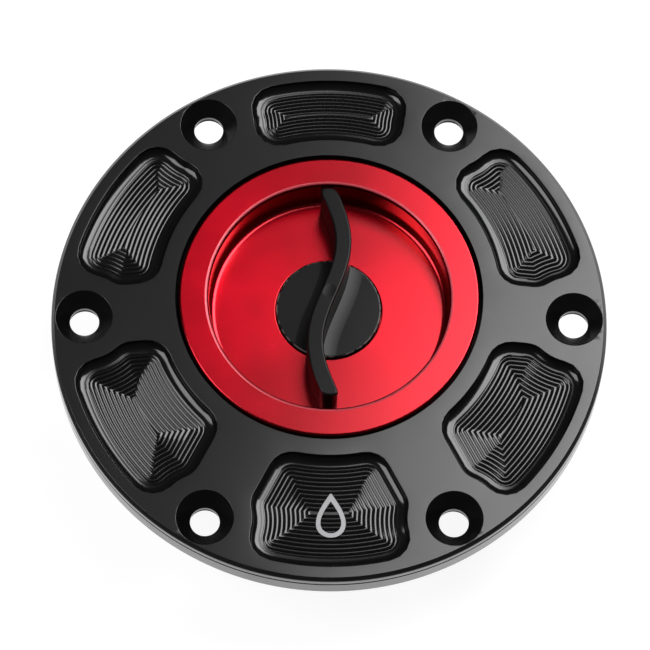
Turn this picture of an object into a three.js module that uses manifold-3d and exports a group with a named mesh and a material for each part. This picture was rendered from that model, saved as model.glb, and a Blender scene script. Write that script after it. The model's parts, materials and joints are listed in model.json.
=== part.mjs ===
// Quick-release filler cap of a motorcycle fuel tank.
// Millimetres, +Z up. The origin is on the flange's axis, in the plane of the neck's lower rim.
import * as THREE from 'three';
import { mergeVertices } from 'three/addons/utils/BufferGeometryUtils.js';
import Module from 'manifold-3d';

const wasm = await Module();
wasm.setup();

// ---------------------------------------------------------------- driving dimensions

const FLANGE_TOP = 24;            // height of the flange's top face above the neck's lower rim
const FLANGE_RADIUS = 55;
const FLANGE_CHAMFER = 0.7;
const FINE_CHAMFER = 0.3;         // on the cap's and the cover's edges
const PLATE_THICKNESS = 3.6;      // at the screws, between the top face and the gasket
const LIP_DEPTH = 6.5;            // outer lip and inner spigot reach this far below the top face
const LIP_INNER_RADIUS = 53.5;
const SPIGOT_RADIUS = 41;

const SCREW_CIRCLE_RADIUS = 48.5;
const SCREW_COUNT = 6;
const SCREW_HOLE_RADIUS = 2.9;    // clearance for M5
const COUNTERSINK_RADIUS = 5.65;

const BORE_OFFSET = 4.9;          // the bore's axis lies this far from the flange's axis, along +Y
const BORE_RADIUS = 30.5;
const SEAT_DEPTH = 3.3;           // the cap's rim lies above this step
const NECK_INNER_RADIUS = 28;
const NECK_OUTER_RADIUS = 34.5;
const NECK_CHAMFER = 0.6;
const LATCH_GROOVE_RADIUS = 31.2;

const POCKET_OUTER_RADIUS = 52;   // about the flange's axis
const POCKET_INNER_RADIUS = 33.95; // about the bore's axis
const SPOKE_HALF_WIDTH = 6.15;    // web left between two pockets, towards each screw
const BOSS_RADIUS = 9.25;         // land left around each screw
const POCKET_CORNER_RADIUS = 4.9;
const POCKET_SECTION = [[0, 0], [1, 1.15], [2.2, 1.6]]; // inset from the edge, and depth

const GASKET_THICKNESS = 1.5;
const GASKET_HOLE_RADIUS = 3.2;
const CLEARANCE = 0.05;           // left between parts that touch

const RIM_RADIUS = 29.9;
const RIM_THICKNESS = 3;
const RECESS_RADIUS = 23.9;
const RECESS_DEPTH = 7.7;
const RECESS_FILLET = 1.2;
const RECESS_LIP = 0.8;
const SKIRT_RADIUS = 27.5;
const SEAL_GROOVE_RADIUS = 25.9;
const SEAL_GROOVE_DEPTHS = [5, 7.4];
const SEAL_RING_RADIUS = 26.93;
const SEAL_SECTION_RADIUS = 0.95;
const CAP_BOTTOM_DEPTH = 21.1;
const CEILING_DEPTH = 12.6;       // roof of the mechanism's chamber
const CHAMBER_RADIUS = 20;
const COVER_SHOULDER_DEPTH = 18.6;
const COUNTERBORE_DEPTH = 9.9;    // seat of the handle's hub
const COUNTERBORE_RADIUS = 10.7;
const SHAFT_HOLE_RADIUS = 4.35;

const HUB_RADIUS = 10.45;
const HUB_TOP_DEPTH = 7;
const HUB_BOTTOM_DEPTH = 9.3;
const BLADE_RISE = 2.5;           // the blade stands this far above the flange
const BLADE_HALF_LENGTH = 22.3;
const BLADE_THICKNESS = 3.2;
const BLADE_ROOT = 0.35;          // how deep the blade reaches into the hub
const TIP_CHAMFER = 0.8;
const BLADE_SWAY = 2.8;           // how far the S leaves its chord
const BLADE_HALF_WAVE = 21.5;
const SHAFT_RADIUS = 4;
const SHAFT_END_DEPTH = 12.7;
const SHAFT_GROOVE_RADIUS = 3.2;  // for the spindle's O-ring
const SHAFT_GROOVE_DEPTHS = [10.5, 11.8];
const SHAFT_SQUARE = 5.6;
const SHAFT_SQUARE_LENGTH = 3;
const SHAFT_THREAD_RADIUS = 1.7;

const CAM_RADIUS = 19.2;
const CAM_TOP_DEPTH = 13;
const CAM_BOTTOM_DEPTH = 15.2;
const LATCH_COUNT = 3;
const LATCH_TOP_DEPTH = 15.5;
const LATCH_BOTTOM_DEPTH = 18.2;
const LATCH_WIDTH = 7;
const LATCH_WINDOW = [12, LATCH_WIDTH + 0.6, 3.7]; // through the cap's skirt
const LATCH_WINDOW_RADIUS = 24.5; // distance of its middle from the bore's axis
const LATCH_INNER_END = 6.5;
const LATCH_OUTER_END = 27.1;
const LATCH_STROKE = 3;
const PIN_RADIUS = 1.4;
const PIN_START_RADIUS = 9.5;     // distance of a follower pin from the bore's axis, latches drawn in
const HANDLE_TURN = Math.PI / 2;
const DETENT_CIRCLE_RADIUS = 17.2;
const DETENT_ANGLE = Math.PI / 6;
const STOP_ANGLE = Math.PI * 1.25;

const VENT_RADIUS_FROM_AXIS = 12;
const VENT_ANGLE = Math.PI / 6;
const VENT_BARREL_RADIUS = 3;
const VENT_HEXAGON_RADIUS = 4.6;
const VENT_BOTTOM_DEPTH = 23.3;
const COVER_RADIUS = 24.9;
const COVER_SPIGOT_RADIUS = 19.6;
const COVER_FACE_DEPTH = 19.1;
const COVER_SCREW_CIRCLE_RADIUS = 21.9;
const COVER_SCREW_RADIUS = 1.2;
const COVER_SCREW_HOLE_RADIUS = 1.5;
const COVER_SCREW_HEAD_RADIUS = 2.25;
const COVER_SCREW_HEAD_DEPTH = 19.95;

// ---------------------------------------------------------------- finishes

function finish(color, roughness, metalness) {
  return () => new THREE.MeshStandardMaterial({ color, roughness, metalness });
}

const blackAnodised = finish(0x2b2b2d, 0.42, 0.9);
const redAnodised = finish(0xc4001c, 0.35, 0.9);
const darkSatin = finish(0x1f1f21, 0.38, 0.9);
const steel = finish(0x9a9ca0, 0.35, 1);
const brass = finish(0xb08d4a, 0.35, 1);
const rubber = finish(0x161616, 0.8, 0);
const plainAluminium = finish(0xb4b6ba, 0.4, 1);
const whitePlastic = finish(0xe4e2da, 0.5, 0);

// ---------------------------------------------------------------- solids

// Welds a geometry into one closed mesh, without needle triangles, faces out.
function weld(geometry) {
  const bare = geometry.clone();
  bare.deleteAttribute('normal');
  bare.deleteAttribute('uv');
  const merged = mergeVertices(bare, 1e-4);
  const place = merged.attributes.position;
  const kept = [];
  let volume = 0;
  const [a, b, c] = [new THREE.Vector3(), new THREE.Vector3(), new THREE.Vector3()];
  for (let i = 0; i < merged.index.count; i += 3) {
    const corners = [0, 1, 2].map((k) => merged.index.getX(i + k));
    if (new Set(corners).size < 3) continue;
    kept.push(corners);
    [a, b, c].forEach((vector, k) => vector.fromBufferAttribute(place, corners[k]));
    volume += a.dot(b.cross(c));
  }
  const facing = volume < 0 ? kept.map(([i, j, k]) => [i, k, j]) : kept;
  merged.setIndex(facing.flat());
  return merged;
}

function solidOf(geometry) {
  const welded = weld(geometry);
  return new wasm.Manifold(new wasm.Mesh({
    numProp: 3,
    vertProperties: Float32Array.from(welded.attributes.position.array),
    triVerts: Uint32Array.from(welded.index.array),
  }));
}

function geometryOf(solid) {
  const mesh = solid.getMesh();
  const geometry = new THREE.BufferGeometry();
  geometry.setAttribute('position', new THREE.BufferAttribute(mesh.vertProperties, 3));
  geometry.setIndex(new THREE.BufferAttribute(mesh.triVerts, 1));
  return geometry;
}

// First solid with the others cut out of it.
function cut(solid, cutters) {
  return cutters.reduce((rest, cutter) => rest.subtract(cutter), solid);
}

// Body of revolution about Z. Each profile point is [radius, depth below the flange's top face].
function turned(profile, segments) {
  const points = profile.map(([radius, depth]) => new THREE.Vector2(radius, FLANGE_TOP - depth));
  return new THREE.LatheGeometry(points, segments).rotateX(Math.PI / 2);
}

function ring(innerRadius, outerRadius, topDepth, bottomDepth, segments) {
  return turned([
    [innerRadius, topDepth], [outerRadius, topDepth],
    [outerRadius, bottomDepth], [innerRadius, bottomDepth], [innerRadius, topDepth],
  ], segments);
}

function rod(radius, topDepth, bottomDepth, segments) {
  return turned([[0, topDepth], [radius, topDepth], [radius, bottomDepth], [0, bottomDepth]], segments);
}

// Upright prism of an outline, between two depths.
function prism(outline, topDepth, bottomDepth, holes = []) {
  const shape = new THREE.Shape(outline);
  shape.holes = holes.map((hole) => new THREE.Path(hole));
  const settings = { depth: bottomDepth - topDepth, bevelEnabled: false };
  return new THREE.ExtrudeGeometry(shape, settings).translate(0, 0, FLANGE_TOP - bottomDepth);
}

function circle(radius, segments, x = 0, y = 0) {
  return Array.from({ length: segments }, (_, i) => {
    const angle = (2 * Math.PI * i) / segments;
    return new THREE.Vector2(x + radius * Math.cos(angle), y + radius * Math.sin(angle));
  });
}

function polar(radius, angle) {
  return [radius * Math.cos(angle), radius * Math.sin(angle)];
}

function torus(ringRadius, sectionRadius, depth, segments, sides) {
  return new THREE.TorusGeometry(ringRadius, sectionRadius, sides, segments)
    .translate(0, 0, FLANGE_TOP - depth);
}

function ball(radius, depth) {
  return new THREE.SphereGeometry(radius, 12, 8).translate(0, 0, FLANGE_TOP - depth);
}

// Outline of a band of constant width along a curve that a function of 0..1 gives, with round ends.
function band(centreLine, halfWidth, steps) {
  const endSteps = 5;
  const left = [];
  const right = [];
  for (let i = 0; i <= steps; i += 1) {
    const point = centreLine(i / steps);
    const ahead = centreLine(i / steps + 1e-4);
    const behind = centreLine(i / steps - 1e-4);
    const normal = new THREE.Vector2(behind.y - ahead.y, ahead.x - behind.x).normalize();
    left.push(point.clone().addScaledVector(normal, halfWidth));
    right.push(point.clone().addScaledVector(normal, -halfWidth));
  }
  const cap = (centre, from, turn) => Array.from({ length: endSteps - 1 }, (_, i) => (
    from.clone().rotateAround(centre, (turn * (i + 1)) / endSteps)
  ));
  return [
    ...right,
    ...cap(centreLine(1), right.at(-1), Math.PI),
    ...left.reverse(),
    ...cap(centreLine(0), left.at(-1), Math.PI),
  ];
}

function coilSpring(radius, wireRadius, topDepth, bottomDepth, turns) {
  const stepsPerTurn = 10;
  const height = bottomDepth - topDepth - 2 * wireRadius;
  const helix = new THREE.Curve();
  helix.getPoint = (t, target = new THREE.Vector3()) => target.set(
    radius * Math.cos(2 * Math.PI * turns * t),
    radius * Math.sin(2 * Math.PI * turns * t),
    FLANGE_TOP - bottomDepth + wireRadius + height * t,
  );
  const section = new THREE.Shape(circle(wireRadius, 5));
  return new THREE.ExtrudeGeometry(section, { steps: turns * stepsPerTurn, extrudePath: helix });
}

// ---------------------------------------------------------------- pockets of the flange

// Each wall of a pocket is a stretch of a circle; side 1 keeps the pocket inside it, side -1 outside.
// A straight wall is a circle so large that its bow over the wall is under a micrometre.
const STRAIGHT_WALL_RADIUS = 1e5;
const BORE_CENTRE = new THREE.Vector2(0, BORE_OFFSET);

function spokeWall(screw, side) {
  const along = screw.clone().sub(BORE_CENTRE).normalize();
  const across = new THREE.Vector2(-along.y, along.x);
  const reach = -side * (STRAIGHT_WALL_RADIUS - SPOKE_HALF_WIDTH);
  const centre = BORE_CENTRE.clone().addScaledVector(across, reach);
  return { centre, radius: STRAIGHT_WALL_RADIUS, side: -1 };
}

function pocketWalls(startAngle) {
  const endAngle = startAngle + (2 * Math.PI) / SCREW_COUNT;
  const first = new THREE.Vector2(...polar(SCREW_CIRCLE_RADIUS, startAngle));
  const last = new THREE.Vector2(...polar(SCREW_CIRCLE_RADIUS, endAngle));
  return [
    { centre: new THREE.Vector2(0, 0), radius: POCKET_OUTER_RADIUS, side: 1 },
    { centre: last, radius: BOSS_RADIUS, side: -1 },
    spokeWall(last, -1),
    { centre: BORE_CENTRE, radius: POCKET_INNER_RADIUS, side: -1 },
    spokeWall(first, 1),
    { centre: first, radius: BOSS_RADIUS, side: -1 },
  ];
}

// Point where two walls meet, of the two the one nearer the pocket's middle.
function wallsMeet(one, other, middle) {
  const between = other.centre.clone().sub(one.centre);
  const distance = between.length();
  const along = (distance ** 2 + one.radius ** 2 - other.radius ** 2) / (2 * distance);
  const off = Math.sqrt(Math.max(one.radius ** 2 - along ** 2, 0));
  const unit = between.divideScalar(distance);
  const candidates = [off, -off].map((h) => new THREE.Vector2(
    one.centre.x + along * unit.x - h * unit.y,
    one.centre.y + along * unit.y + h * unit.x,
  ));
  return candidates.sort((p, q) => p.distanceTo(middle) - q.distanceTo(middle))[0];
}

function shortestTurn(angle) {
  return angle - 2 * Math.PI * Math.round(angle / (2 * Math.PI));
}

// Walls moved in by the corner radius, without those that the move shrinks to nothing,
// and the corner before each, which is the centre of that corner's rounding.
function roundingCentres(startAngle) {
  const middle = new THREE.Vector2(...polar(42, startAngle + Math.PI / SCREW_COUNT));
  let walls = pocketWalls(startAngle).map((wall) => (
    { ...wall, radius: wall.radius - wall.side * POCKET_CORNER_RADIUS }
  ));
  for (;;) {
    const corners = walls.map((wall, i) => wallsMeet(walls.at(i - 1), wall, middle));
    const stretches = walls.map((wall, i) => {
      const from = corners[i].clone().sub(wall.centre).angle();
      const to = corners[(i + 1) % walls.length].clone().sub(wall.centre).angle();
      return { from, turn: shortestTurn(to - from) };
    });
    const lost = stretches.findIndex((stretch, i) => stretch.turn * walls[i].side < 0);
    if (lost < 0) return { walls, corners, stretches };
    walls = walls.filter((_, i) => i !== lost);
  }
}

// Outline of a pocket, counter-clockwise, drawn in by inset from its edge in the top face.
function pocketOutline(startAngle, inset) {
  const wallStep = 4.5;
  const cornerSteps = 3;
  const grow = POCKET_CORNER_RADIUS - inset;
  const { walls, corners, stretches } = roundingCentres(startAngle);
  const outline = [];
  walls.forEach((wall, i) => {
    const { from, turn } = stretches[i];
    const steps = Math.max(1, Math.round((Math.abs(turn) * wall.radius) / wallStep));
    const radius = wall.radius + wall.side * grow;
    for (let j = 0; j <= steps; j += 1) {
      const [x, y] = polar(radius, from + (turn * j) / steps);
      outline.push(new THREE.Vector2(wall.centre.x + x, wall.centre.y + y));
    }
    const next = walls[(i + 1) % walls.length];
    const corner = corners[(i + 1) % walls.length];
    const facing = (w) => corner.clone().sub(w.centre).multiplyScalar(w.side).angle();
    const turnAtCorner = shortestTurn(facing(next) - facing(wall));
    for (let j = 1; j < cornerSteps; j += 1) {
      const [x, y] = polar(grow, facing(wall) + (turnAtCorner * j) / cornerSteps);
      outline.push(new THREE.Vector2(corner.x + x, corner.y + y));
    }
  });
  return outline;
}

// Closed skin over a stack of outlines with equal numbers of points, the highest first.
function stacked(layers) {
  const count = layers[0].outline.length;
  const positions = layers.flatMap(({ outline, depth }) => (
    outline.flatMap((point) => [point.x, point.y, FLANGE_TOP - depth])
  ));
  const faces = [];
  for (let layer = 0; layer + 1 < layers.length; layer += 1) {
    for (let i = 0; i < count; i += 1) {
      const next = (i + 1) % count;
      const [a, b] = [layer * count + i, layer * count + next];
      faces.push([a, a + count, b], [b, a + count, b + count]);
    }
  }
  const last = (layers.length - 1) * count;
  THREE.ShapeUtils.triangulateShape(layers[0].outline, []).forEach((face) => faces.push(face));
  THREE.ShapeUtils.triangulateShape(layers.at(-1).outline, []).forEach(([a, b, c]) => (
    faces.push([last + a, last + c, last + b])
  ));
  const geometry = new THREE.BufferGeometry();
  geometry.setAttribute('position', new THREE.Float32BufferAttribute(positions, 3));
  geometry.setIndex(faces.flat());
  return geometry;
}

// A pocket's wall curves down to its floor.
function pocketCutter(startAngle) {
  const section = [[0, -1], ...POCKET_SECTION];
  return stacked(section.map(([inset, depth]) => ({ outline: pocketOutline(startAngle, inset), depth })));
}

// ---------------------------------------------------------------- fixed parts

function flangeRing() {
  const neckTop = PLATE_THICKNESS - 0.6;
  const plate = solidOf(turned([
    [0, 0], [FLANGE_RADIUS - FLANGE_CHAMFER, 0], [FLANGE_RADIUS, FLANGE_CHAMFER],
    [FLANGE_RADIUS, LIP_DEPTH], [LIP_INNER_RADIUS, LIP_DEPTH], [LIP_INNER_RADIUS, PLATE_THICKNESS],
    [SPIGOT_RADIUS, PLATE_THICKNESS], [SPIGOT_RADIUS, LIP_DEPTH], [0, LIP_DEPTH],
  ], 72));
  const neck = solidOf(turned([
    [0, neckTop], [NECK_OUTER_RADIUS, neckTop], [NECK_OUTER_RADIUS, FLANGE_TOP - 0.5],
    [NECK_OUTER_RADIUS - 0.5, FLANGE_TOP], [0, FLANGE_TOP],
  ], 60).translate(0, BORE_OFFSET, 0));
  const bore = solidOf(turned([
    [0, -1], [BORE_RADIUS, -1], [BORE_RADIUS, SEAT_DEPTH],
    [NECK_INNER_RADIUS + NECK_CHAMFER, SEAT_DEPTH], [NECK_INNER_RADIUS, SEAT_DEPTH + NECK_CHAMFER],
    [NECK_INNER_RADIUS, LATCH_TOP_DEPTH - 0.5], [LATCH_GROOVE_RADIUS, LATCH_TOP_DEPTH - 0.5],
    [LATCH_GROOVE_RADIUS, LATCH_BOTTOM_DEPTH + 0.4], [NECK_INNER_RADIUS, LATCH_BOTTOM_DEPTH + 0.4],
    [NECK_INNER_RADIUS, FLANGE_TOP - NECK_CHAMFER], [NECK_INNER_RADIUS + NECK_CHAMFER, FLANGE_TOP],
    [NECK_INNER_RADIUS + NECK_CHAMFER, FLANGE_TOP + 1], [0, FLANGE_TOP + 1],
  ], 60).translate(0, BORE_OFFSET, 0));
  const cutters = [bore];
  for (let i = 0; i < SCREW_COUNT; i += 1) {
    const angle = (2 * Math.PI * i) / SCREW_COUNT;
    const [x, y] = polar(SCREW_CIRCLE_RADIUS, angle);
    const countersinkDepth = COUNTERSINK_RADIUS - SCREW_HOLE_RADIUS;
    cutters.push(solidOf(turned([
      [0, -1], [COUNTERSINK_RADIUS + 1, -1], [SCREW_HOLE_RADIUS, countersinkDepth],
      [SCREW_HOLE_RADIUS, PLATE_THICKNESS + 1], [0, PLATE_THICKNESS + 1],
    ], 24).translate(x, y, 0)));
    cutters.push(solidOf(pocketCutter(angle)));
  }
  return geometryOf(cut(plate.add(neck), cutters));
}

function flangeGasket() {
  const holes = Array.from({ length: SCREW_COUNT }, (_, i) => (
    circle(GASKET_HOLE_RADIUS, 12, ...polar(SCREW_CIRCLE_RADIUS, (2 * Math.PI * i) / SCREW_COUNT))
  ));
  const top = PLATE_THICKNESS + CLEARANCE;
  const outline = circle(LIP_INNER_RADIUS - 0.5, 60);
  return prism(outline, top, top + GASKET_THICKNESS, [circle(SPIGOT_RADIUS + 0.5, 60), ...holes]);
}

// ---------------------------------------------------------------- cap

const latchAngle = (i) => Math.PI / 2 + (2 * Math.PI * i) / LATCH_COUNT;
const coverScrewAngle = (i) => latchAngle(i) + Math.PI / LATCH_COUNT;

function capBody() {
  const filletSteps = 4;
  const fillet = Array.from({ length: filletSteps + 1 }, (_, i) => {
    const [across, down] = polar(RECESS_FILLET, (Math.PI / 2) * (1 - i / filletSteps));
    return [RECESS_RADIUS - RECESS_FILLET + across, RECESS_DEPTH - RECESS_FILLET + down];
  });
  const [grooveTop, grooveBottom] = SEAL_GROOVE_DEPTHS;
  const coverHoleRadius = COVER_RADIUS + 0.3;
  const shell = solidOf(turned([
    [SHAFT_HOLE_RADIUS, COUNTERBORE_DEPTH], [COUNTERBORE_RADIUS, COUNTERBORE_DEPTH],
    [COUNTERBORE_RADIUS, RECESS_DEPTH], ...fillet,
    [RECESS_RADIUS, RECESS_LIP], [RECESS_RADIUS + RECESS_LIP, 0],
    [RIM_RADIUS - FINE_CHAMFER, 0], [RIM_RADIUS, FINE_CHAMFER], [RIM_RADIUS, RIM_THICKNESS],
    [SKIRT_RADIUS, RIM_THICKNESS], [SKIRT_RADIUS, grooveTop], [SEAL_GROOVE_RADIUS, grooveTop],
    [SEAL_GROOVE_RADIUS, grooveBottom], [SKIRT_RADIUS, grooveBottom],
    [SKIRT_RADIUS, CAP_BOTTOM_DEPTH - FINE_CHAMFER], [SKIRT_RADIUS - FINE_CHAMFER, CAP_BOTTOM_DEPTH],
    [coverHoleRadius, CAP_BOTTOM_DEPTH], [coverHoleRadius, COVER_SHOULDER_DEPTH],
    [CHAMBER_RADIUS, COVER_SHOULDER_DEPTH],
    [CHAMBER_RADIUS, CEILING_DEPTH], [SHAFT_HOLE_RADIUS, CEILING_DEPTH],
    [SHAFT_HOLE_RADIUS, COUNTERBORE_DEPTH],
  ], 54));
  const cutters = [];
  for (let i = 0; i < LATCH_COUNT; i += 1) {
    const latchMiddle = (LATCH_TOP_DEPTH + LATCH_BOTTOM_DEPTH) / 2;
    const window = new THREE.BoxGeometry(...LATCH_WINDOW);
    window.translate(LATCH_WINDOW_RADIUS, 0, FLANGE_TOP - latchMiddle - CLEARANCE);
    cutters.push(solidOf(window.rotateZ(latchAngle(i))));
    const [x, y] = polar(COVER_SCREW_CIRCLE_RADIUS, coverScrewAngle(i));
    const hole = rod(COVER_SCREW_HOLE_RADIUS, CEILING_DEPTH, COVER_SHOULDER_DEPTH + 0.5, 12);
    cutters.push(solidOf(hole.translate(x, y, 0)));
  }
  const [detentX, detentY] = polar(DETENT_CIRCLE_RADIUS, DETENT_ANGLE);
  cutters.push(solidOf(rod(1.6, 9, CEILING_DEPTH + 0.5, 12).translate(detentX, detentY, 0)));
  const [stopX, stopY] = polar(DETENT_CIRCLE_RADIUS, STOP_ANGLE);
  cutters.push(solidOf(rod(1.25, 9.5, CEILING_DEPTH + 0.5, 12).translate(stopX, stopY, 0)));
  return geometryOf(cut(shell, cutters));
}

function bottomCover() {
  const disc = solidOf(turned([
    [0, COVER_SHOULDER_DEPTH - 0.1], [COVER_SPIGOT_RADIUS, COVER_SHOULDER_DEPTH - 0.1],
    [COVER_SPIGOT_RADIUS, COVER_FACE_DEPTH], [COVER_RADIUS, COVER_FACE_DEPTH],
    [COVER_RADIUS, CAP_BOTTOM_DEPTH - FINE_CHAMFER], [COVER_RADIUS - FINE_CHAMFER, CAP_BOTTOM_DEPTH],
    [0, CAP_BOTTOM_DEPTH],
  ], 48));
  const cutters = [];
  for (let i = 0; i < LATCH_COUNT; i += 1) {
    const [x, y] = polar(COVER_SCREW_CIRCLE_RADIUS, coverScrewAngle(i));
    cutters.push(solidOf(turned([
      [0, 18], [COVER_SCREW_HOLE_RADIUS, 18], [COVER_SCREW_HOLE_RADIUS, COVER_SCREW_HEAD_DEPTH - CLEARANCE],
      [2.6, CAP_BOTTOM_DEPTH - 0.1], [2.6, 22], [0, 22],
    ], 12).translate(x, y, 0)));
  }
  const [ventX, ventY] = polar(VENT_RADIUS_FROM_AXIS, VENT_ANGLE);
  const ventHole = rod(VENT_BARREL_RADIUS + 0.3, 18, 22, 18);
  cutters.push(solidOf(ventHole.translate(ventX, ventY, 0)));
  return geometryOf(cut(disc, cutters));
}

function coverGasket() {
  const holes = Array.from({ length: LATCH_COUNT }, (_, i) => (
    circle(COVER_SCREW_HOLE_RADIUS, 10, ...polar(COVER_SCREW_CIRCLE_RADIUS, coverScrewAngle(i)))
  ));
  const [top, bottom] = [COVER_SHOULDER_DEPTH + CLEARANCE, COVER_FACE_DEPTH - CLEARANCE];
  return prism(circle(COVER_RADIUS, 48), top, bottom, [circle(CHAMBER_RADIUS + 0.2, 48), ...holes]);
}

function coverScrew(angle) {
  const [tip, bottom] = [CEILING_DEPTH + 0.8, CAP_BOTTOM_DEPTH - CLEARANCE];
  const screw = solidOf(turned([
    [0, tip], [COVER_SCREW_RADIUS, tip], [COVER_SCREW_RADIUS, COVER_SCREW_HEAD_DEPTH],
    [COVER_SCREW_HEAD_RADIUS, bottom], [0, bottom],
  ], 12));
  const socket = solidOf(prism(circle(0.95, 6), CAP_BOTTOM_DEPTH - 1, CAP_BOTTOM_DEPTH + 1));
  const [x, y] = polar(COVER_SCREW_CIRCLE_RADIUS, angle);
  return geometryOf(screw.subtract(socket)).translate(x, y, 0);
}

function ventValveBody() {
  const hexagon = solidOf(prism(circle(VENT_HEXAGON_RADIUS, 6), CAP_BOTTOM_DEPTH + 0.1, VENT_BOTTOM_DEPTH));
  const barrel = solidOf(rod(VENT_BARREL_RADIUS, 16, 22, 18));
  const passage = solidOf(turned([
    [0, 15], [0.8, 15], [0.8, 17], [2, 18.2], [2, 24], [0, 24],
  ], 14));
  return geometryOf(hexagon.add(barrel).subtract(passage));
}

// ---------------------------------------------------------------- handle and cam

function bladeCentre(y) {
  return new THREE.Vector2(BLADE_SWAY * Math.sin((Math.PI * y) / BLADE_HALF_WAVE), y);
}

// S-shaped outline. The tips are cut square to the blade's chord, and each corner is chamfered.
function bladeOutline() {
  const steps = 26;
  const half = BLADE_THICKNESS / 2;
  const reach = BLADE_HALF_LENGTH + BLADE_THICKNESS;
  const side = [];
  for (let i = 0; i <= steps; i += 1) {
    const y = reach * ((2 * i) / steps - 1);
    const slope = bladeCentre(y + 1e-3).sub(bladeCentre(y - 1e-3)).normalize();
    side.push(bladeCentre(y).add(new THREE.Vector2(slope.y, -slope.x).multiplyScalar(half)));
  }
  const pointAt = (y) => {
    const next = side.findIndex((point) => point.y > y);
    const [one, other] = [side[next - 1], side[next]];
    return one.clone().lerp(other, (y - one.y) / (other.y - one.y));
  };
  const straightEnd = BLADE_HALF_LENGTH - TIP_CHAMFER;
  const lowerCorner = pointAt(-BLADE_HALF_LENGTH).add(new THREE.Vector2(-TIP_CHAMFER, 0));
  const upperCorner = pointAt(BLADE_HALF_LENGTH).add(new THREE.Vector2(-TIP_CHAMFER, 0));
  const right = [
    lowerCorner, pointAt(-straightEnd),
    ...side.filter((point) => Math.abs(point.y) < straightEnd - 0.3),
    pointAt(straightEnd), upperCorner,
  ];
  const left = right.map((point) => point.clone().negate());
  return [...right, ...left];
}

function turnHandle() {
  const [grooveTop, grooveBottom] = SHAFT_GROOVE_DEPTHS;
  const hubAndShaft = solidOf(turned([
    [0, HUB_TOP_DEPTH], [HUB_RADIUS - 0.2, HUB_TOP_DEPTH], [HUB_RADIUS, HUB_TOP_DEPTH + 0.2],
    [HUB_RADIUS, HUB_BOTTOM_DEPTH], [SHAFT_RADIUS, HUB_BOTTOM_DEPTH], [SHAFT_RADIUS, grooveTop],
    [SHAFT_GROOVE_RADIUS, grooveTop], [SHAFT_GROOVE_RADIUS, grooveBottom], [SHAFT_RADIUS, grooveBottom],
    [SHAFT_RADIUS, SHAFT_END_DEPTH], [0, SHAFT_END_DEPTH],
  ], 48));
  const blade = solidOf(prism(bladeOutline(), -BLADE_RISE, HUB_TOP_DEPTH + BLADE_ROOT));
  const square = new THREE.BoxGeometry(SHAFT_SQUARE, SHAFT_SQUARE, SHAFT_SQUARE_LENGTH);
  square.translate(0, 0, FLANGE_TOP - CAM_BOTTOM_DEPTH + 0.2 + SHAFT_SQUARE_LENGTH / 2);
  const tapped = solidOf(rod(SHAFT_THREAD_RADIUS, 9.5, 17, 14));
  return geometryOf(hubAndShaft.add(blade).add(solidOf(square)).subtract(tapped));
}

function camDisc() {
  const slotHalfWidth = PIN_RADIUS + 0.35;
  const disc = solidOf(rod(CAM_RADIUS, CAM_TOP_DEPTH, CAM_BOTTOM_DEPTH, 48));
  const hole = new THREE.BoxGeometry(SHAFT_SQUARE + 0.4, SHAFT_SQUARE + 0.4, 6);
  const cutters = [solidOf(hole.translate(0, 0, FLANGE_TOP - CAM_BOTTOM_DEPTH))];
  for (let i = 0; i < LATCH_COUNT; i += 1) {
    // The disc turns clockwise, so the slot runs back counter-clockwise from the pin, and outwards.
    const spiral = (t) => new THREE.Vector2(
      ...polar(PIN_START_RADIUS + LATCH_STROKE * t, latchAngle(i) + HANDLE_TURN * t),
    );
    cutters.push(solidOf(prism(band(spiral, slotHalfWidth, 12), 12, 16)));
  }
  const arc = (from) => (t) => new THREE.Vector2(...polar(DETENT_CIRCLE_RADIUS, from + HANDLE_TURN * t));
  cutters.push(solidOf(prism(band(arc(STOP_ANGLE), 1.4, 10), 12, 16)));
  cutters.push(solidOf(prism(band(arc(DETENT_ANGLE), 1.2, 10), 12, CAM_TOP_DEPTH + 0.6)));
  return geometryOf(cut(disc, cutters));
}

function camScrew() {
  const screw = solidOf(turned([
    [0, 10.4], [1.5, 10.4], [1.5, 15.9], [3, 15.9], [3, 17.4], [2.7, 17.7], [0, 17.7],
  ], 18));
  return geometryOf(screw.subtract(solidOf(prism(circle(1.45, 6), 16.5, 19))));
}

// ---------------------------------------------------------------- latches, drawn along +X

function latchBolt() {
  const half = LATCH_WIDTH / 2;
  const noseSteps = 6;
  const noseHalfAngle = Math.asin(half / LATCH_OUTER_END);
  const nose = Array.from({ length: noseSteps + 1 }, (_, i) => (
    new THREE.Vector2(...polar(LATCH_OUTER_END, noseHalfAngle * ((2 * i) / noseSteps - 1)))
  ));
  const outline = [
    new THREE.Vector2(LATCH_INNER_END, -half + 1), new THREE.Vector2(LATCH_INNER_END + 1, -half),
    ...nose,
    new THREE.Vector2(LATCH_INNER_END + 1, half), new THREE.Vector2(LATCH_INNER_END, half - 1),
  ];
  const bar = solidOf(prism(outline, LATCH_TOP_DEPTH, LATCH_BOTTOM_DEPTH));
  const pinHole = solidOf(rod(PIN_RADIUS + 0.2, 15, 19, 16).translate(PIN_START_RADIUS, 0, 0));
  const leadIn = new THREE.BoxGeometry(2, 10, 2).rotateY(Math.PI / 4);
  leadIn.translate(LATCH_OUTER_END + 0.3, 0, FLANGE_TOP - LATCH_BOTTOM_DEPTH - 0.4);
  return geometryOf(cut(bar, [pinHole, solidOf(leadIn)]));
}

function followerPin() {
  return rod(PIN_RADIUS, CAM_TOP_DEPTH + 0.2, LATCH_BOTTOM_DEPTH - 0.3, 16).translate(PIN_START_RADIUS, 0, 0);
}

// ---------------------------------------------------------------- assembly

const assembly = new THREE.Group();
const cap = new THREE.Group();
cap.position.set(0, BORE_OFFSET, 0);
assembly.add(cap);

function place(parent, name, geometry, material) {
  const mesh = new THREE.Mesh(weld(geometry), material());
  mesh.name = name;
  parent.add(mesh);
}

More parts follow.
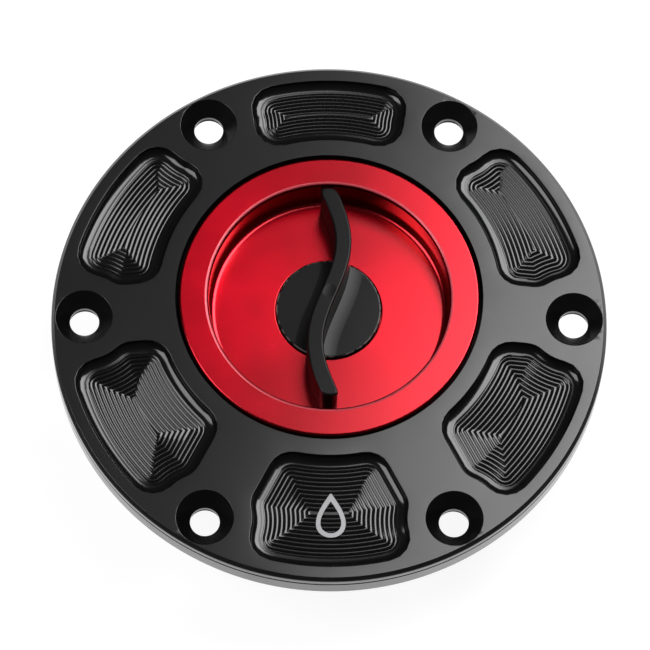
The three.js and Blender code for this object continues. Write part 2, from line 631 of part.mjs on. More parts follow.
function groupAt(parent, radius, angle) {
  const group = new THREE.Group();
  group.position.set(...polar(radius, angle), 0);
  parent.add(group);
  return group;
}

place(assembly, 'flange_ring', flangeRing(), blackAnodised);
place(assembly, 'flange_gasket', flangeGasket(), rubber);

place(cap, 'cap_body', capBody(), redAnodised);
const sealDepth = (SEAL_GROOVE_DEPTHS[0] + SEAL_GROOVE_DEPTHS[1]) / 2;
place(cap, 'cap_o_ring', torus(SEAL_RING_RADIUS, SEAL_SECTION_RADIUS, sealDepth, 48, 8), rubber);
place(cap, 'bottom_cover', bottomCover(), plainAluminium);
place(cap, 'cover_gasket', coverGasket(), rubber);

place(cap, 'turn_handle', turnHandle(), darkSatin);
place(cap, 'thrust_washer', ring(4.6, 10.2, 9.4, 9.8, 36), whitePlastic);
const spindleSealDepth = (SHAFT_GROOVE_DEPTHS[0] + SHAFT_GROOVE_DEPTHS[1]) / 2;
place(cap, 'spindle_o_ring', torus(3.75, 0.5, spindleSealDepth, 20, 6), rubber);
place(cap, 'cam_disc', camDisc(), steel);
place(cap, 'cam_washer', ring(1.8, 3.6, 15.25, 15.8, 20), steel);
place(cap, 'cam_screw', camScrew(), steel);

const detent = groupAt(cap, DETENT_CIRCLE_RADIUS, DETENT_ANGLE);
place(detent, 'detent_ball', ball(1.2, 12.2), steel);
place(detent, 'detent_spring', coilSpring(0.95, 0.18, 9.1, 10.9, 3), steel);
const stop = groupAt(cap, DETENT_CIRCLE_RADIUS, STOP_ANGLE);
place(stop, 'stop_pin', rod(1.05, 9.7, 14.9, 12), steel);

const vent = groupAt(cap, VENT_RADIUS_FROM_AXIS, VENT_ANGLE);
place(vent, 'vent_valve_body', ventValveBody(), brass);
place(vent, 'vent_ball', ball(1.4, 18.6), steel);
place(vent, 'vent_spring', coilSpring(1.15, 0.22, 20.1, 22.2, 3), steel);
place(vent, 'vent_plug', ring(0.6, 1.7, 22.3, 23.1, 14), brass);

for (let i = 0; i < LATCH_COUNT; i += 1) {
  const number = i + 1;
  const latch = new THREE.Group();
  latch.rotation.z = latchAngle(i);
  cap.add(latch);
  place(latch, `latch_bolt_${number}`, latchBolt(), steel);
  place(latch, `follower_pin_${number}`, followerPin(), steel);
  place(cap, `cover_screw_${number}`, coverScrew(coverScrewAngle(i)), steel);
}

export default assembly;
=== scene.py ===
"""Looks of a motorcycle's quick-release fuel filler cap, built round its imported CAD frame.

Shapes are worked out in millimetres, with depths measured down from the flange's top face.
"""

import json
import math

import bmesh
import bpy
from mathutils import Matrix, Vector
from mathutils.geometry import delaunay_2d_cdt

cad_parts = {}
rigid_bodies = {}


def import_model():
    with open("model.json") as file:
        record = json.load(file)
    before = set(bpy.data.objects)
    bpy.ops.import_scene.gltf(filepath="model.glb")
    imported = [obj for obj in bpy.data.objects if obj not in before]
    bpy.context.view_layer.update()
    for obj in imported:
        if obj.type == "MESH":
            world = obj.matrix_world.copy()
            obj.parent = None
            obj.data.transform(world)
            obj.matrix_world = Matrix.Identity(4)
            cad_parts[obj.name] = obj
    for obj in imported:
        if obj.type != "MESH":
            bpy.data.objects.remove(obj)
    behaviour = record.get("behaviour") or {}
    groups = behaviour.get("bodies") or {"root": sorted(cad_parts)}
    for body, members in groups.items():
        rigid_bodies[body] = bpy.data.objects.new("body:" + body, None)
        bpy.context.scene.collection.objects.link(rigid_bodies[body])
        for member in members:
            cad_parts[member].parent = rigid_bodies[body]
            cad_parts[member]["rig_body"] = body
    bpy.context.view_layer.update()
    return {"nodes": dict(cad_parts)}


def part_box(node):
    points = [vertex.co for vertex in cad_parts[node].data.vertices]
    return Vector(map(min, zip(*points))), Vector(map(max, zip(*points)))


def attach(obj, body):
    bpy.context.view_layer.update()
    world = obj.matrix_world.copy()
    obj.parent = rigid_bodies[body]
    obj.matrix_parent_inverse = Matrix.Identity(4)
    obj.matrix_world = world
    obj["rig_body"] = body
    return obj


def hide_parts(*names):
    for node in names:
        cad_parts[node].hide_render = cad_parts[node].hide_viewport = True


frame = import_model()

# ---------------- sizes read from the frame

MM = 0.001


def corners_of(node):
    """Lowest and highest corner of a CAD node, in millimetres."""
    low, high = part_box(node)
    return low / MM, high / MM


def radius_of(node):
    low, high = corners_of(node)
    return (high.y - low.y) / 2


def centre_of(node):
    """The axis of a round CAD node, as x and y."""
    low, high = corners_of(node)
    return ((low.x + high.x) / 2, (low.y + high.y) / 2)


FLANGE_TOP = corners_of("flange_ring")[1].z
FLANGE_RADIUS = radius_of("flange_ring")
FLANGE_AXIS = (0.0, 0.0)
BORE_AXIS = centre_of("bottom_cover")


def depths_of(node):
    """Depth of a CAD node's top and of its bottom."""
    low, high = corners_of(node)
    return FLANGE_TOP - high.z, FLANGE_TOP - low.z


def middle_depth(node):
    return sum(depths_of(node)) / 2


# ---------------- sizes of details, in millimetres

FLANGE_CHAMFER = 0.7
PLATE_THICKNESS = 3.6
LIP_DEPTH = 6.5
LIP_INNER_RADIUS = 53.5
SPIGOT_RADIUS = 41.0
NECK_OUTER_RADIUS = 34.5
NECK_INNER_RADIUS = 28.0
BORE_RADIUS = 30.5
SEAT_DEPTH = 3.3
LATCH_GROOVE_RADIUS = 31.2
LATCH_GROOVE_DEPTHS = (15.0, 18.6)
SIDE_LINE_DEPTHS = (2.0, 2.5)  # fine line turned into the flange's outer wall
SIDE_LINE_CUT = 0.25

SCREW_CIRCLE_RADIUS = 48.5
SCREW_COUNT = 6
SCREW_HOLE_RADIUS = 2.9
COUNTERSINK_RADIUS = 5.65
GASKET_HOLE_RADIUS = 3.2

POCKET_OUTER_RADIUS = 52.0
POCKET_INNER_RADIUS = 33.95
SPOKE_HALF_WIDTH = 6.15
BOSS_RADIUS = 9.25
POCKET_CORNER_RADIUS = 4.9
POCKET_MIDDLE_RADIUS = 42.0
FILLET_WIDTH = 1.95
FILLET_DEPTH = 1.58
FIRST_RIDGE = 2.19            # the tool's first ridge lies this far inside the pocket's edge
SECOND_RIDGE = 2.85
RIDGE_PITCH = 0.885
FINE_RIDGE_PITCH = 0.76       # in the pocket beyond the bore, which is the narrowest
SCALLOP_DEPTH = 0.135
RIDGE_DEPTH = 1.56

RIM_RADIUS = radius_of("cap_body")
RIM_THICKNESS = 3.0
RECESS_RADIUS = 23.9
RECESS_DEPTH = 7.7
RECESS_FILLET = 1.2
RECESS_LIP = 0.8
SKIRT_RADIUS = 27.5
SEAL_GROOVE_RADIUS = 25.9
SEAL_GROOVE_DEPTHS = (5.0, 7.4)
CEILING_DEPTH = 12.6
CHAMBER_RADIUS = 20.0
COVER_SHOULDER_DEPTH = 18.6
COVER_RADIUS = radius_of("bottom_cover")
CAP_BOTTOM_DEPTH = depths_of("cap_body")[1]
COUNTERBORE_RADIUS = 10.7
COUNTERBORE_DEPTH = 9.9
SHAFT_HOLE_RADIUS = 4.35
COVER_TOP_DEPTH = 18.5
COVER_FACE_DEPTH = 19.1       # of the cover's flange, which lies on the gasket
COVER_SPIGOT_RADIUS = 19.6
COVER_SCREW_CIRCLE_RADIUS = 21.9
COVER_SCREW_TIP_DEPTH = 13.4
COVER_SCREW_HEAD_DEPTH = 19.95
COVER_SCREW_RADIUS = 1.2
COVER_SCREW_HEAD_RADIUS = 2.25
COVER_SCREW_HOLE_RADIUS = 1.5
COVER_COUNTERSINK_RADIUS = 2.6
COVER_SOCKET_RADIUS = 0.95
LATCH_COUNT = 3
LATCH_WINDOW = (12, 7.6, 3.7)  # through the skirt: length, width and height
LATCH_WINDOW_RADIUS = 24.5

HUB_RADIUS = 10.45
HUB_TOP_DEPTH = 7.0
HUB_BOTTOM_DEPTH = 9.3
SHAFT_RADIUS = 4.0
SHAFT_END_DEPTH = 12.7
SHAFT_GROOVE_RADIUS = 3.2
SHAFT_GROOVE_DEPTHS = (10.5, 11.8)
SHAFT_SQUARE = (5.6, 5.6, 3.0)
SHAFT_SQUARE_DEPTH = 13.5
SHAFT_THREAD_RADIUS = 1.7
SHAFT_THREAD_DEPTHS = (9.5, 17.0)
BLADE_RISE = -depths_of("turn_handle")[0]
BLADE_HALF_LENGTH = 22.3
BLADE_THICKNESS = 3.2
BLADE_SWAY = 2.8
BLADE_HALF_WAVE = 21.5
FOOT_REACH = 4.2              # how far the blade's flared foot spreads over the hub, and how high it rises
FOOT_RISE = 0.24
BLADE_EASE = 0.35
BLADE_ROOT = 0.35             # how deep the blade reaches into the hub
TIP_ROUNDING = 1.55
DIMPLE_RADIUS = 1.45          # shallow dent at the middle of the S
DIMPLE_DEPTH = 0.045

SPINDLE_RING_RADIUS = 3.75
SPINDLE_RING_SECTION = 0.5
THRUST_WASHER_RADII = (4.6, 10.2)
CAM_WASHER_RADII = (1.8, 3.6)
VENT_PLUG_RADII = (0.6, 1.7)
STOP_PIN_RADIUS = 1.05
FOLLOWER_PIN_RADIUS = 1.4
DETENT_BALL_RADIUS = 1.2
VENT_BALL_RADIUS = 1.4
DETENT_SPRING = (0.95, 0.18, 9.1, 10.9, 3)  # radius, wire, top, bottom and turns
VENT_SPRING = (1.15, 0.22, 20.1, 22.2, 3)
VENT_BARREL_RADIUS = 3.0
VENT_BARREL_DEPTHS = (16.0, 22.0)
VENT_HOLE_RADIUS = 3.3
VENT_HEXAGON_RADIUS = 4.6
VENT_BORE_RADIUS = 2.0        # where the ball and its spring are
VENT_BORE_DEPTH = 18.2
VENT_PASSAGE_RADIUS = 0.8

CAM_SCREW_RADIUS = 1.5
CAM_SCREW_HEAD_RADIUS = 3.0
CAM_SCREW_DEPTHS = (10.4, 15.9, 17.7)  # tip, underside of the head, and top of the head
CAM_SOCKET_RADIUS = 1.45
CAM_SOCKET_DEPTH = 16.5
CAM_SQUARE_HALF = 3.0
PIN_START_RADIUS = 9.5        # distance of a follower pin from the bore's axis, latches drawn in
PIN_HOLE_RADIUS = 1.6
LATCH_STROKE = 3.0
LATCH_HALF_WIDTH = 3.5
LATCH_INNER_END = 6.5
LATCH_NOSE_RADIUS = 27.1
LATCH_FOOT_RADIUS = 26.4
LATCH_FOOT_HEIGHT = 0.7
STOP_CIRCLE_RADIUS = 17.2
SLOT_HALF_WIDTH = 1.75        # of the cam's spiral slots, and below it of its arcs
STOP_SLOT_HALF_WIDTH = 1.4
DETENT_GROOVE_HALF_WIDTH = 1.2
DETENT_GROOVE_DEPTH = 0.6
QUARTER_TURN = math.pi / 2

MARK_CENTRE = (0.25, -40.9)
MARK_SIZE = (6.6, 9.4)
MARK_HOLE_SIZE = (4.5, 6.6)
MARK_HOLE_DROP = 0.45         # how far the hole lies below the drop's middle
MARK_RISE = 0.05              # of its top face over the ridges, and how deep it reaches below that
MARK_ROOT = 0.1

SMOOTH_BELOW = math.radians(33)
EASE = 0.16                   # radius to which a machined edge is broken

# ---------------- outlines


def polar(radius, angle, centre=(0.0, 0.0)):
    return (centre[0] + radius * math.cos(angle), centre[1] + radius * math.sin(angle))


def circle(radius, segments, centre):
    return [polar(radius, 2 * math.pi * i / segments, centre) for i in range(segments)]


def wrapped(angle):
    return (angle + math.pi) % (2 * math.pi) - math.pi


def eased(profile, ease=EASE, steps=3):
    """The profile with each inner corner rounded. A point's third number, where given, is its own ease."""
    made = [tuple(profile[0][:2])]
    for before, corner, after in zip(profile, profile[1:], profile[2:]):
        at = Vector(corner[:2])
        back = Vector(before[:2]) - at
        ahead = Vector(after[:2]) - at
        wanted = corner[2] if len(corner) > 2 else ease
        reach = min(wanted, 0.45 * back.length, 0.45 * ahead.length)
        if reach < 1e-4:
            made.append(tuple(at))
            continue
        start = at + back.normalized() * reach
        end = at + ahead.normalized() * reach
        for i in range(steps + 1):
            t = i / steps
            made.append(tuple((1 - t) ** 2 * start + 2 * t * (1 - t) * at + t * t * end))
    made.append(tuple(profile[-1][:2]))
    return made


# ---------------- meshes


class Shell:
    """Points and faces of one closed piece, in millimetres."""

    def __init__(self):
        self.points = []
        self.faces = []
        self.creases = []

    def row(self, outline, depth):
        """Adds an outline at a depth, or at one depth for each point, and returns its points' numbers."""
        first = len(self.points)
        depths = depth if isinstance(depth, list) else [depth] * len(outline)
        self.points += [(x, y, FLANGE_TOP - d) for (x, y), d in zip(outline, depths)]
        return list(range(first, len(self.points)))

    def span(self, one, other, finish=0):
        """Joins two closed rows of equal length, or a row and a single point."""
        count = max(len(one), len(other))
        for i in range(count):
            j = (i + 1) % count
            corners = [row[k % len(row)] for row, k in ((one, i), (one, j), (other, j), (other, i))]
            self.faces.append((list(dict.fromkeys(corners)), finish))

    def fill(self, rim, *holes, finish=0):
        """Flat face inside the rim and outside the holes."""
        numbers = [i for row in (rim, *holes) for i in row]
        flat = [Vector(self.points[i][:2]) for i in numbers]
        loops = []
        for row in (rim, *holes):
            first = sum(len(loop) for loop in loops)
            loops.append(list(range(first, first + len(row))))
        inside = 1
        _, _, triangles, sources, _, owners = delaunay_2d_cdt(flat, [], loops, inside, 1e-4, True)
        for triangle, owner in zip(triangles, owners):
            if list(owner) == [0]:
                self.faces.append(([numbers[sources[k][0]] for k in triangle], finish))

    def turn(self, profile, segments, centre, finish=0, closed=False):
        """Surface of revolution of [radius, depth] points, and returns its first and last row."""
        rows = []
        for radius, depth in profile:
            outline = circle(radius, segments, centre) if radius > 1e-6 else [centre]
            rows.append(self.row(outline, depth))
        for one, other in zip(rows, rows[1:]):
            self.span(one, other, finish)
        if closed:
            self.span(rows[-1], rows[0], finish)
        return rows[0], rows[-1]

    def close(self, *rows, finish=0):
        """Flat faces over whole rows."""
        self.faces += [(row, finish) for row in rows]

    def mesh(self, name, smooth_below=SMOOTH_BELOW):
        bm = bmesh.new()
        points = [bm.verts.new(Vector(point) * MM) for point in self.points]
        for corners, finish in self.faces:
            face = bm.faces.new([points[i] for i in corners])
            face.material_index = finish
        for one, other in self.creases:
            edge = bm.edges.get((points[one], points[other]))
            if edge:
                edge.smooth = False
        bmesh.ops.remove_doubles(bm, verts=bm.verts, dist=1e-4 * MM)
        tidy(bm, smooth_below)
        return mesh_of(bm, name)


def mesh_of(bm, name):
    made = bpy.data.meshes.new(name)
    bm.to_mesh(made)
    bm.free()
    return made


def placed(name, data):
    """A new object in the scene."""
    made = bpy.data.objects.new(name, data)
    bpy.context.scene.collection.objects.link(made)
    return made


def tidy(bm, smooth_below):
    """Faces out, smooth shading, and a sharp edge wherever two faces meet at more than the angle."""
    bmesh.ops.recalc_face_normals(bm, faces=bm.faces)
    for face in bm.faces:
        face.smooth = True
    for edge in bm.edges:
        if edge.calc_face_angle(0.0) > smooth_below:
            edge.smooth = False


def keep_level_faces_flat(bm):
    """Marks the edges of level faces sharp, so that rounded neighbours don't shade into them."""
    for edge in bm.edges:
        rises = [abs(face.normal.z) for face in edge.link_faces]
        if max(rises) > 0.99999 and min(rises) < 0.9998:
            edge.smooth = False


def combined(base, others, operation, smooth_below=SMOOTH_BELOW):
    """The base mesh with the others joined on or cut away."""
    scratch = placed("scratch", base)
    tools = [placed("tool", other) for other in others]
    for tool in tools:
        modifier = scratch.modifiers.new("cut", "BOOLEAN")
        modifier.operation = operation
        modifier.solver = "EXACT"
        modifier.object = tool
    graph = bpy.context.evaluated_depsgraph_get()
    bm = bmesh.new()
    bm.from_mesh(scratch.evaluated_get(graph).to_mesh())
    for thing in (scratch, *tools):
        bpy.data.objects.remove(thing)
    bmesh.ops.remove_doubles(bm, verts=bm.verts, dist=1e-4 * MM)
    for edge in bm.edges:
        edge.smooth = True
    tidy(bm, smooth_below)
    keep_level_faces_flat(bm)
    return mesh_of(bm, base.name)


def stand_in(node, mesh, *materials):
    """A piece with this mesh that stands for a CAD node and moves with it."""
    piece = placed(node + "_fine", mesh)
    for material in materials:
        mesh.materials.append(material)
    weighted = piece.modifiers.new("normals", "WEIGHTED_NORMAL")
    weighted.keep_sharp = True
    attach(piece, frame["nodes"][node]["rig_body"])
    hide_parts(node)


def turned(name, profile, segments, centre, ring=False):
    """Mesh of a turned piece. The profile starts and ends on the axis, or goes round a ring's section."""
    shell = Shell()
    shell.turn(profile, segments, centre, closed=ring)
    return shell.mesh(name)


def ring_section(inner, outer, top, bottom, ease=0.1):
    """Section of a flat ring, closed by going round it."""
    middle = (top + bottom) / 2
    section = eased([
        (inner, middle), (inner, top), (outer, top), (outer, bottom), (inner, bottom), (inner, middle),
    ], ease)
    return section[:-1]


def rod_profile(radius, top, bottom, ease=0.15):
    return eased([(0, top), (radius, top), (radius, bottom), (0, bottom)], ease)


def round_section(ring_radius, section_radius, depth):
    return circle(section_radius, 24, (ring_radius, depth))


def ball_profile(radius, depth):
    steps = 24
    made = []
    for i in range(steps + 1):
        across, up = polar(radius, math.pi / 2 - math.pi * i / steps)
        made.append((max(across, 0.0), depth - up))
    return made


def hexagon_hole(radius, top, bottom, centre):
    """Tool for a hexagon socket."""
    shell = Shell()
    rows = [shell.row(circle(radius, 6, centre), depth) for depth in (top, bottom)]
    shell.span(*rows)
    shell.close(*rows)
    return shell.mesh("hexagon")


def block(name, size, middle, angle, centre):
    """Box of a size, its middle at x, y and depth before it is turned by the angle about the centre."""
    bm = bmesh.new()
    bmesh.ops.create_cube(bm, size=1)
    place = (
        Matrix.Translation((centre[0], centre[1], FLANGE_TOP))
        @ Matrix.Rotation(angle, 4, "Z")
        @ Matrix.Translation((middle[0], middle[1], -middle[2]))
        @ Matrix.Diagonal((*size, 1))
    )
    bm.transform(Matrix.Scale(MM, 4) @ place)
    return mesh_of(bm, name)


def drawn_in(outline, distance):
    """A counter-clockwise outline moved in by a small distance, or out where it is negative."""
    made = []
    for before, (x, y), after in zip(outline[-1:] + outline[:-1], outline, outline[1:] + outline[:1]):
        along = Vector((after[0] - before[0], after[1] - before[1])).normalized()
        made.append((x - along.y * distance, y + along.x * distance))
    return made


def plate(name, rim, holes, top, bottom, ease=0.1, foot_inset=None):
    """Flat piece with an outline and holes, all counter-clockwise, and its edges eased.

    A foot_inset of (height, outline) makes the rim run in to that outline over the height above the bottom.
    """
    shell = Shell()
    height, foot = foot_inset or (ease, drawn_in(rim, ease))
    levels = [(drawn_in(rim, ease), top), (rim, top + ease), (rim, bottom - height), (foot, bottom)]
    walls = [[shell.row(outline, depth) for outline, depth in levels]]
    for hole in holes:
        wide = drawn_in(hole, -ease)
        levels = [(wide, top), (hole, top + ease), (hole, bottom - ease), (wide, bottom)]
        walls.append([shell.row(outline, depth) for outline, depth in levels])
    for rows in walls:
        for one, other in zip(rows, rows[1:]):
            shell.span(one, other)
    for level in (0, -1):
        shell.fill(*[rows[level] for rows in walls])
    return shell.mesh(name)


def coil(name, centre, radius, wire, top, bottom, turns):
    """Spring of round wire."""
    steps_per_turn, sides = 28, 10
    shell = Shell()
    rows = []
    for i in range(turns * steps_per_turn + 1):
        t = i / (turns * steps_per_turn)
        middle = bottom - wire - (bottom - top - 2 * wire) * t
        angle = 2 * math.pi * turns * t
        section = [polar(wire, 2 * math.pi * k / sides) for k in range(sides)]
        outline = [polar(radius + across, angle, centre) for across, _ in section]
        rows.append(shell.row(outline, [middle - up for _, up in section]))
    for one, other in zip(rows, rows[1:]):
        shell.span(one, other)
    shell.close(rows[0], rows[-1])
    return shell.mesh(name, math.radians(45))


def band(centre_line, half_width, steps):
    """Counter-clockwise outline round a curve given as a function of 0 to 1, with round ends."""
    end_steps = 8
    left, right = [], []
    for i in range(steps + 1):
        t = i / steps
        x, y = centre_line(t)
        ahead = Vector(centre_line(t + 1e-3)) - Vector(centre_line(t - 1e-3))
        heading = math.atan2(ahead.y, ahead.x)
        left.append(polar(half_width, heading + math.pi / 2, (x, y)))
        right.append(polar(half_width, heading - math.pi / 2, (x, y)))

    def rounded_end(centre, start):
        first = bearing(start, centre)
        return [polar(half_width, first + math.pi * i / end_steps, centre) for i in range(1, end_steps)]

    return [
        *right, *rounded_end(centre_line(1), right[-1]),
        *reversed(left), *rounded_end(centre_line(0), left[0]),
    ]


# ---------------- pockets of the flange

# A wall of a pocket is a stretch of a circle: centre, radius, and side, 1 where the pocket is inside
# the circle and -1 where it is outside. A straight wall is a very large circle.
STRAIGHT_WALL_RADIUS = 1e5
WALL_STEPS = (22, 8, 2, 16, 2, 8)
CORNER_STEPS = 4


def spoke_wall(screw, side):
    outward = bearing(screw, BORE_AXIS)
    reach = STRAIGHT_WALL_RADIUS - SPOKE_HALF_WIDTH
    return (polar(-side * reach, outward + math.pi / 2, BORE_AXIS), STRAIGHT_WALL_RADIUS, -1)


def screw_centre(i):
    return polar(SCREW_CIRCLE_RADIUS, 2 * math.pi * i / SCREW_COUNT)


def pocket_walls(number):
    first = screw_centre(number)
    last = screw_centre(number + 1)
    return [
        (FLANGE_AXIS, POCKET_OUTER_RADIUS, 1),
        (last, BOSS_RADIUS, -1),
        spoke_wall(last, -1),
        (BORE_AXIS, POCKET_INNER_RADIUS, -1),
        spoke_wall(first, 1),
        (first, BOSS_RADIUS, -1),
    ]


def meeting(one, other, middle):
    """Point where two walls' circles cross, the one nearer the pocket's middle, or None."""
    (x, y), radius, _ = one
    (other_x, other_y), other_radius, _ = other
    across, up = other_x - x, other_y - y
    distance = math.hypot(across, up)
    along = (distance**2 + radius**2 - other_radius**2) / (2 * distance)
    if abs(along) > radius:
        return None
    off = math.sqrt(radius**2 - along**2)
    across, up = across / distance, up / distance
    found = [(x + along * across - h * up, y + along * up + h * across) for h in (off, -off)]
    return min(found, key=lambda point: math.dist(point, middle))


def bearing(point, centre):
    return math.atan2(point[1] - centre[1], point[0] - centre[0])


def walls_left(walls, inset, middle):
    """Walls moved in by inset, without those that it shrinks to nothing.

    Returns their numbers, the moved walls, the corner before each, and each one's start and turn.
    """
    numbers = list(range(len(walls)))
    while len(numbers) > 2:
        moved = [(walls[i][0], walls[i][1] - walls[i][2] * inset, walls[i][2]) for i in numbers]
        corners = [meeting(moved[k - 1], wall, middle) for k, wall in enumerate(moved)]
        if None in corners:
            return None
        stretches = []
        for k, (centre, _, _) in enumerate(moved):
            begin = bearing(corners[k], centre)
            end = bearing(corners[(k + 1) % len(moved)], centre)
            stretches.append((begin, wrapped(end - begin)))
        lengths = [turn * wall[1] * wall[2] for (_, turn), wall in zip(stretches, moved)]
        if min(lengths) >= 0:
            return numbers, moved, corners, stretches
        del numbers[lengths.index(min(lengths))]
    return None


def pocket_outline(walls, middle, inset):
    """The pocket's outline drawn in by inset. It always has as many points: those of a wall that the
    inset has shrunk to nothing all lie at one place."""
    drawn = max(inset, POCKET_CORNER_RADIUS)
    grow = drawn - inset
    found = walls_left(walls, drawn, middle)
    if not found:
        return None
    numbers, moved, corners, stretches = found

    def facing(corner, wall):
        return bearing(corner, wall[0]) if wall[2] > 0 else bearing(wall[0], corner)

    outline = []
    for number, steps in enumerate(WALL_STEPS):
        if number not in numbers:
            following = next((k for k, kept in enumerate(numbers) if kept > number), 0)
            corner = corners[following]
            at = polar(grow, facing(corner, moved[following]), corner)
            outline += [at] * (steps + CORNER_STEPS)
            continue
        k = numbers.index(number)
        centre, radius, side = moved[k]
        begin, turn = stretches[k]
        outline += [polar(radius + side * grow, begin + turn * j / steps, centre) for j in range(steps + 1)]
        ahead = (k + 1) % len(numbers)
        first = facing(corners[ahead], moved[k])
        step = wrapped(facing(corners[ahead], moved[ahead]) - first) / CORNER_STEPS
        outline += [polar(grow, first + step * j, corners[ahead]) for j in range(1, CORNER_STEPS)]
    return outline


def deepest_inset(walls, middle):
    """The greatest inset that the pocket has room for."""
    low, high = POCKET_CORNER_RADIUS, 2 * POCKET_CORNER_RADIUS
    while pocket_outline(walls, middle, high):
        high += 1
    for _ in range(20):
        half = (low + high) / 2
        if pocket_outline(walls, middle, half):
            low = half
        else:
            high = half
    return low


def pocket_section(pitch, deepest):
    """[inset, depth] points from the edge in the top face, down the fillet and over the tool's ridges."""
    edge_steps, fillet_steps, scallop_steps = 3, 9, 6
    fillet_end = math.acos(1 - FIRST_RIDGE / FILLET_WIDTH)
    section = []
    for i in range(edge_steps + 1):
        angle = math.pi / 2 * i / edge_steps
        section.append((-EASE * (1 - math.sin(angle)), EASE * (1 - math.cos(angle))))
    for i in range(1, fillet_steps + 1):
        angle = fillet_end * i / fillet_steps
        depth = EASE + (FILLET_DEPTH - EASE) * math.sin(angle)
        section.append((FILLET_WIDTH * (1 - math.cos(angle)), depth))
    ridge, following = FIRST_RIDGE, SECOND_RIDGE
    while ridge < deepest:
        for i in range(1, scallop_steps + 1):
            t = i / scallop_steps
            inset = ridge + (following - ridge) * t
            if inset < deepest:
                section.append((inset, RIDGE_DEPTH + SCALLOP_DEPTH * 4 * t * (1 - t)))
        ridge, following = following, following + pitch
    return section


def mill_pocket(shell, number):
    """Adds a pocket to the flange, and returns its edge in the top face."""
    middle = polar(POCKET_MIDDLE_RADIUS, 2 * math.pi * (number + 0.5) / SCREW_COUNT)
    walls = pocket_walls(number)
    pitch = FINE_RIDGE_PITCH if number == 1 else RIDGE_PITCH
    deepest = deepest_inset(walls, middle)
    rows = []
    for inset, depth in pocket_section(pitch, deepest - 0.05):
        rows.append(shell.row(pocket_outline(walls, middle, inset), depth))
        if len(rows) > 1:
            shell.span(rows[-2], rows[-1], finish=1 if inset > 0 else 0)
        if inset > POCKET_CORNER_RADIUS:
            at = 0
            for steps in WALL_STEPS:
                shell.creases.append((rows[-2][at], rows[-1][at]))
                at += steps + CORNER_STEPS
    shell.close(rows[-1], finish=1)
    return rows[0]


# ---------------- fixed pieces


def flange_mesh():
    shell = Shell()
    segments = 224
    line_top, line_bottom = SIDE_LINE_DEPTHS
    line_radius = FLANGE_RADIUS - SIDE_LINE_CUT
    rim_top, channel_outside = shell.turn(eased([
        (FLANGE_RADIUS - FLANGE_CHAMFER - 1, 0), (FLANGE_RADIUS - FLANGE_CHAMFER, 0, 0.05),
        (FLANGE_RADIUS, FLANGE_CHAMFER), (FLANGE_RADIUS, line_top, 0.08),
        (line_radius, line_top + 0.1, 0.08), (line_radius, line_bottom - 0.1, 0.08),
        (FLANGE_RADIUS, line_bottom, 0.08),
        (FLANGE_RADIUS, LIP_DEPTH, 0.4), (LIP_INNER_RADIUS, LIP_DEPTH),
        (LIP_INNER_RADIUS, PLATE_THICKNESS, 0.3), (SPIGOT_RADIUS + 4, PLATE_THICKNESS),
    ])[1:-1], segments, FLANGE_AXIS)
    channel_inside, spigot_foot = shell.turn(eased([
        (SPIGOT_RADIUS + 4, PLATE_THICKNESS), (SPIGOT_RADIUS, PLATE_THICKNESS, 0.3),
        (SPIGOT_RADIUS, LIP_DEPTH), (SPIGOT_RADIUS - 1, LIP_DEPTH),
    ])[1:-1], segments, FLANGE_AXIS)
    groove_top, groove_bottom = LATCH_GROOVE_DEPTHS
    neck_root, _ = shell.turn(eased([
        (NECK_OUTER_RADIUS + 1, LIP_DEPTH), (NECK_OUTER_RADIUS, LIP_DEPTH, 0.5),
        (NECK_OUTER_RADIUS, FLANGE_TOP - 0.5), (NECK_OUTER_RADIUS - 0.5, FLANGE_TOP),
        (NECK_INNER_RADIUS + 0.6, FLANGE_TOP), (NECK_INNER_RADIUS, FLANGE_TOP - 0.6),
        (NECK_INNER_RADIUS, groove_bottom), (LATCH_GROOVE_RADIUS, groove_bottom, 0.5),
        (LATCH_GROOVE_RADIUS, groove_top, 0.5), (NECK_INNER_RADIUS, groove_top),
        (NECK_INNER_RADIUS, SEAT_DEPTH + 0.6), (NECK_INNER_RADIUS, SEAT_DEPTH + 0.5),
    ])[1:], segments, BORE_AXIS)
    _, bore_top = shell.turn(eased([
        (NECK_INNER_RADIUS, SEAT_DEPTH + 0.5), (NECK_INNER_RADIUS + 0.5, SEAT_DEPTH),
        (BORE_RADIUS, SEAT_DEPTH, 0.05), (BORE_RADIUS, 0, 0.08), (BORE_RADIUS + 1, 0),
    ])[:-1], segments, BORE_AXIS, finish=2)
    hole_tops = []
    hole_bottoms = []
    for i in range(SCREW_COUNT):
        top, bottom = shell.turn(eased([
            (COUNTERSINK_RADIUS + 1, 0), (COUNTERSINK_RADIUS, 0, 0.05),
            (SCREW_HOLE_RADIUS, COUNTERSINK_RADIUS - SCREW_HOLE_RADIUS, 0.08),
            (SCREW_HOLE_RADIUS, PLATE_THICKNESS, 0.2), (SCREW_HOLE_RADIUS + 1, PLATE_THICKNESS),
        ])[1:-1], 64, screw_centre(i), finish=1)
        hole_tops.append(top)
        hole_bottoms.append(bottom)
    pockets = [mill_pocket(shell, i) for i in range(SCREW_COUNT)]
    shell.fill(rim_top, bore_top, *hole_tops, *pockets)
    shell.fill(channel_outside, channel_inside, *hole_bottoms)
    shell.fill(spigot_foot, neck_root)
    return shell.mesh("flange")


# ---------------- cap


def latch_angle(i):
    return math.pi / 2 + 2 * math.pi * i / LATCH_COUNT


def cover_screw_centre(i):
    return polar(COVER_SCREW_CIRCLE_RADIUS, latch_angle(i) + math.pi / LATCH_COUNT, BORE_AXIS)


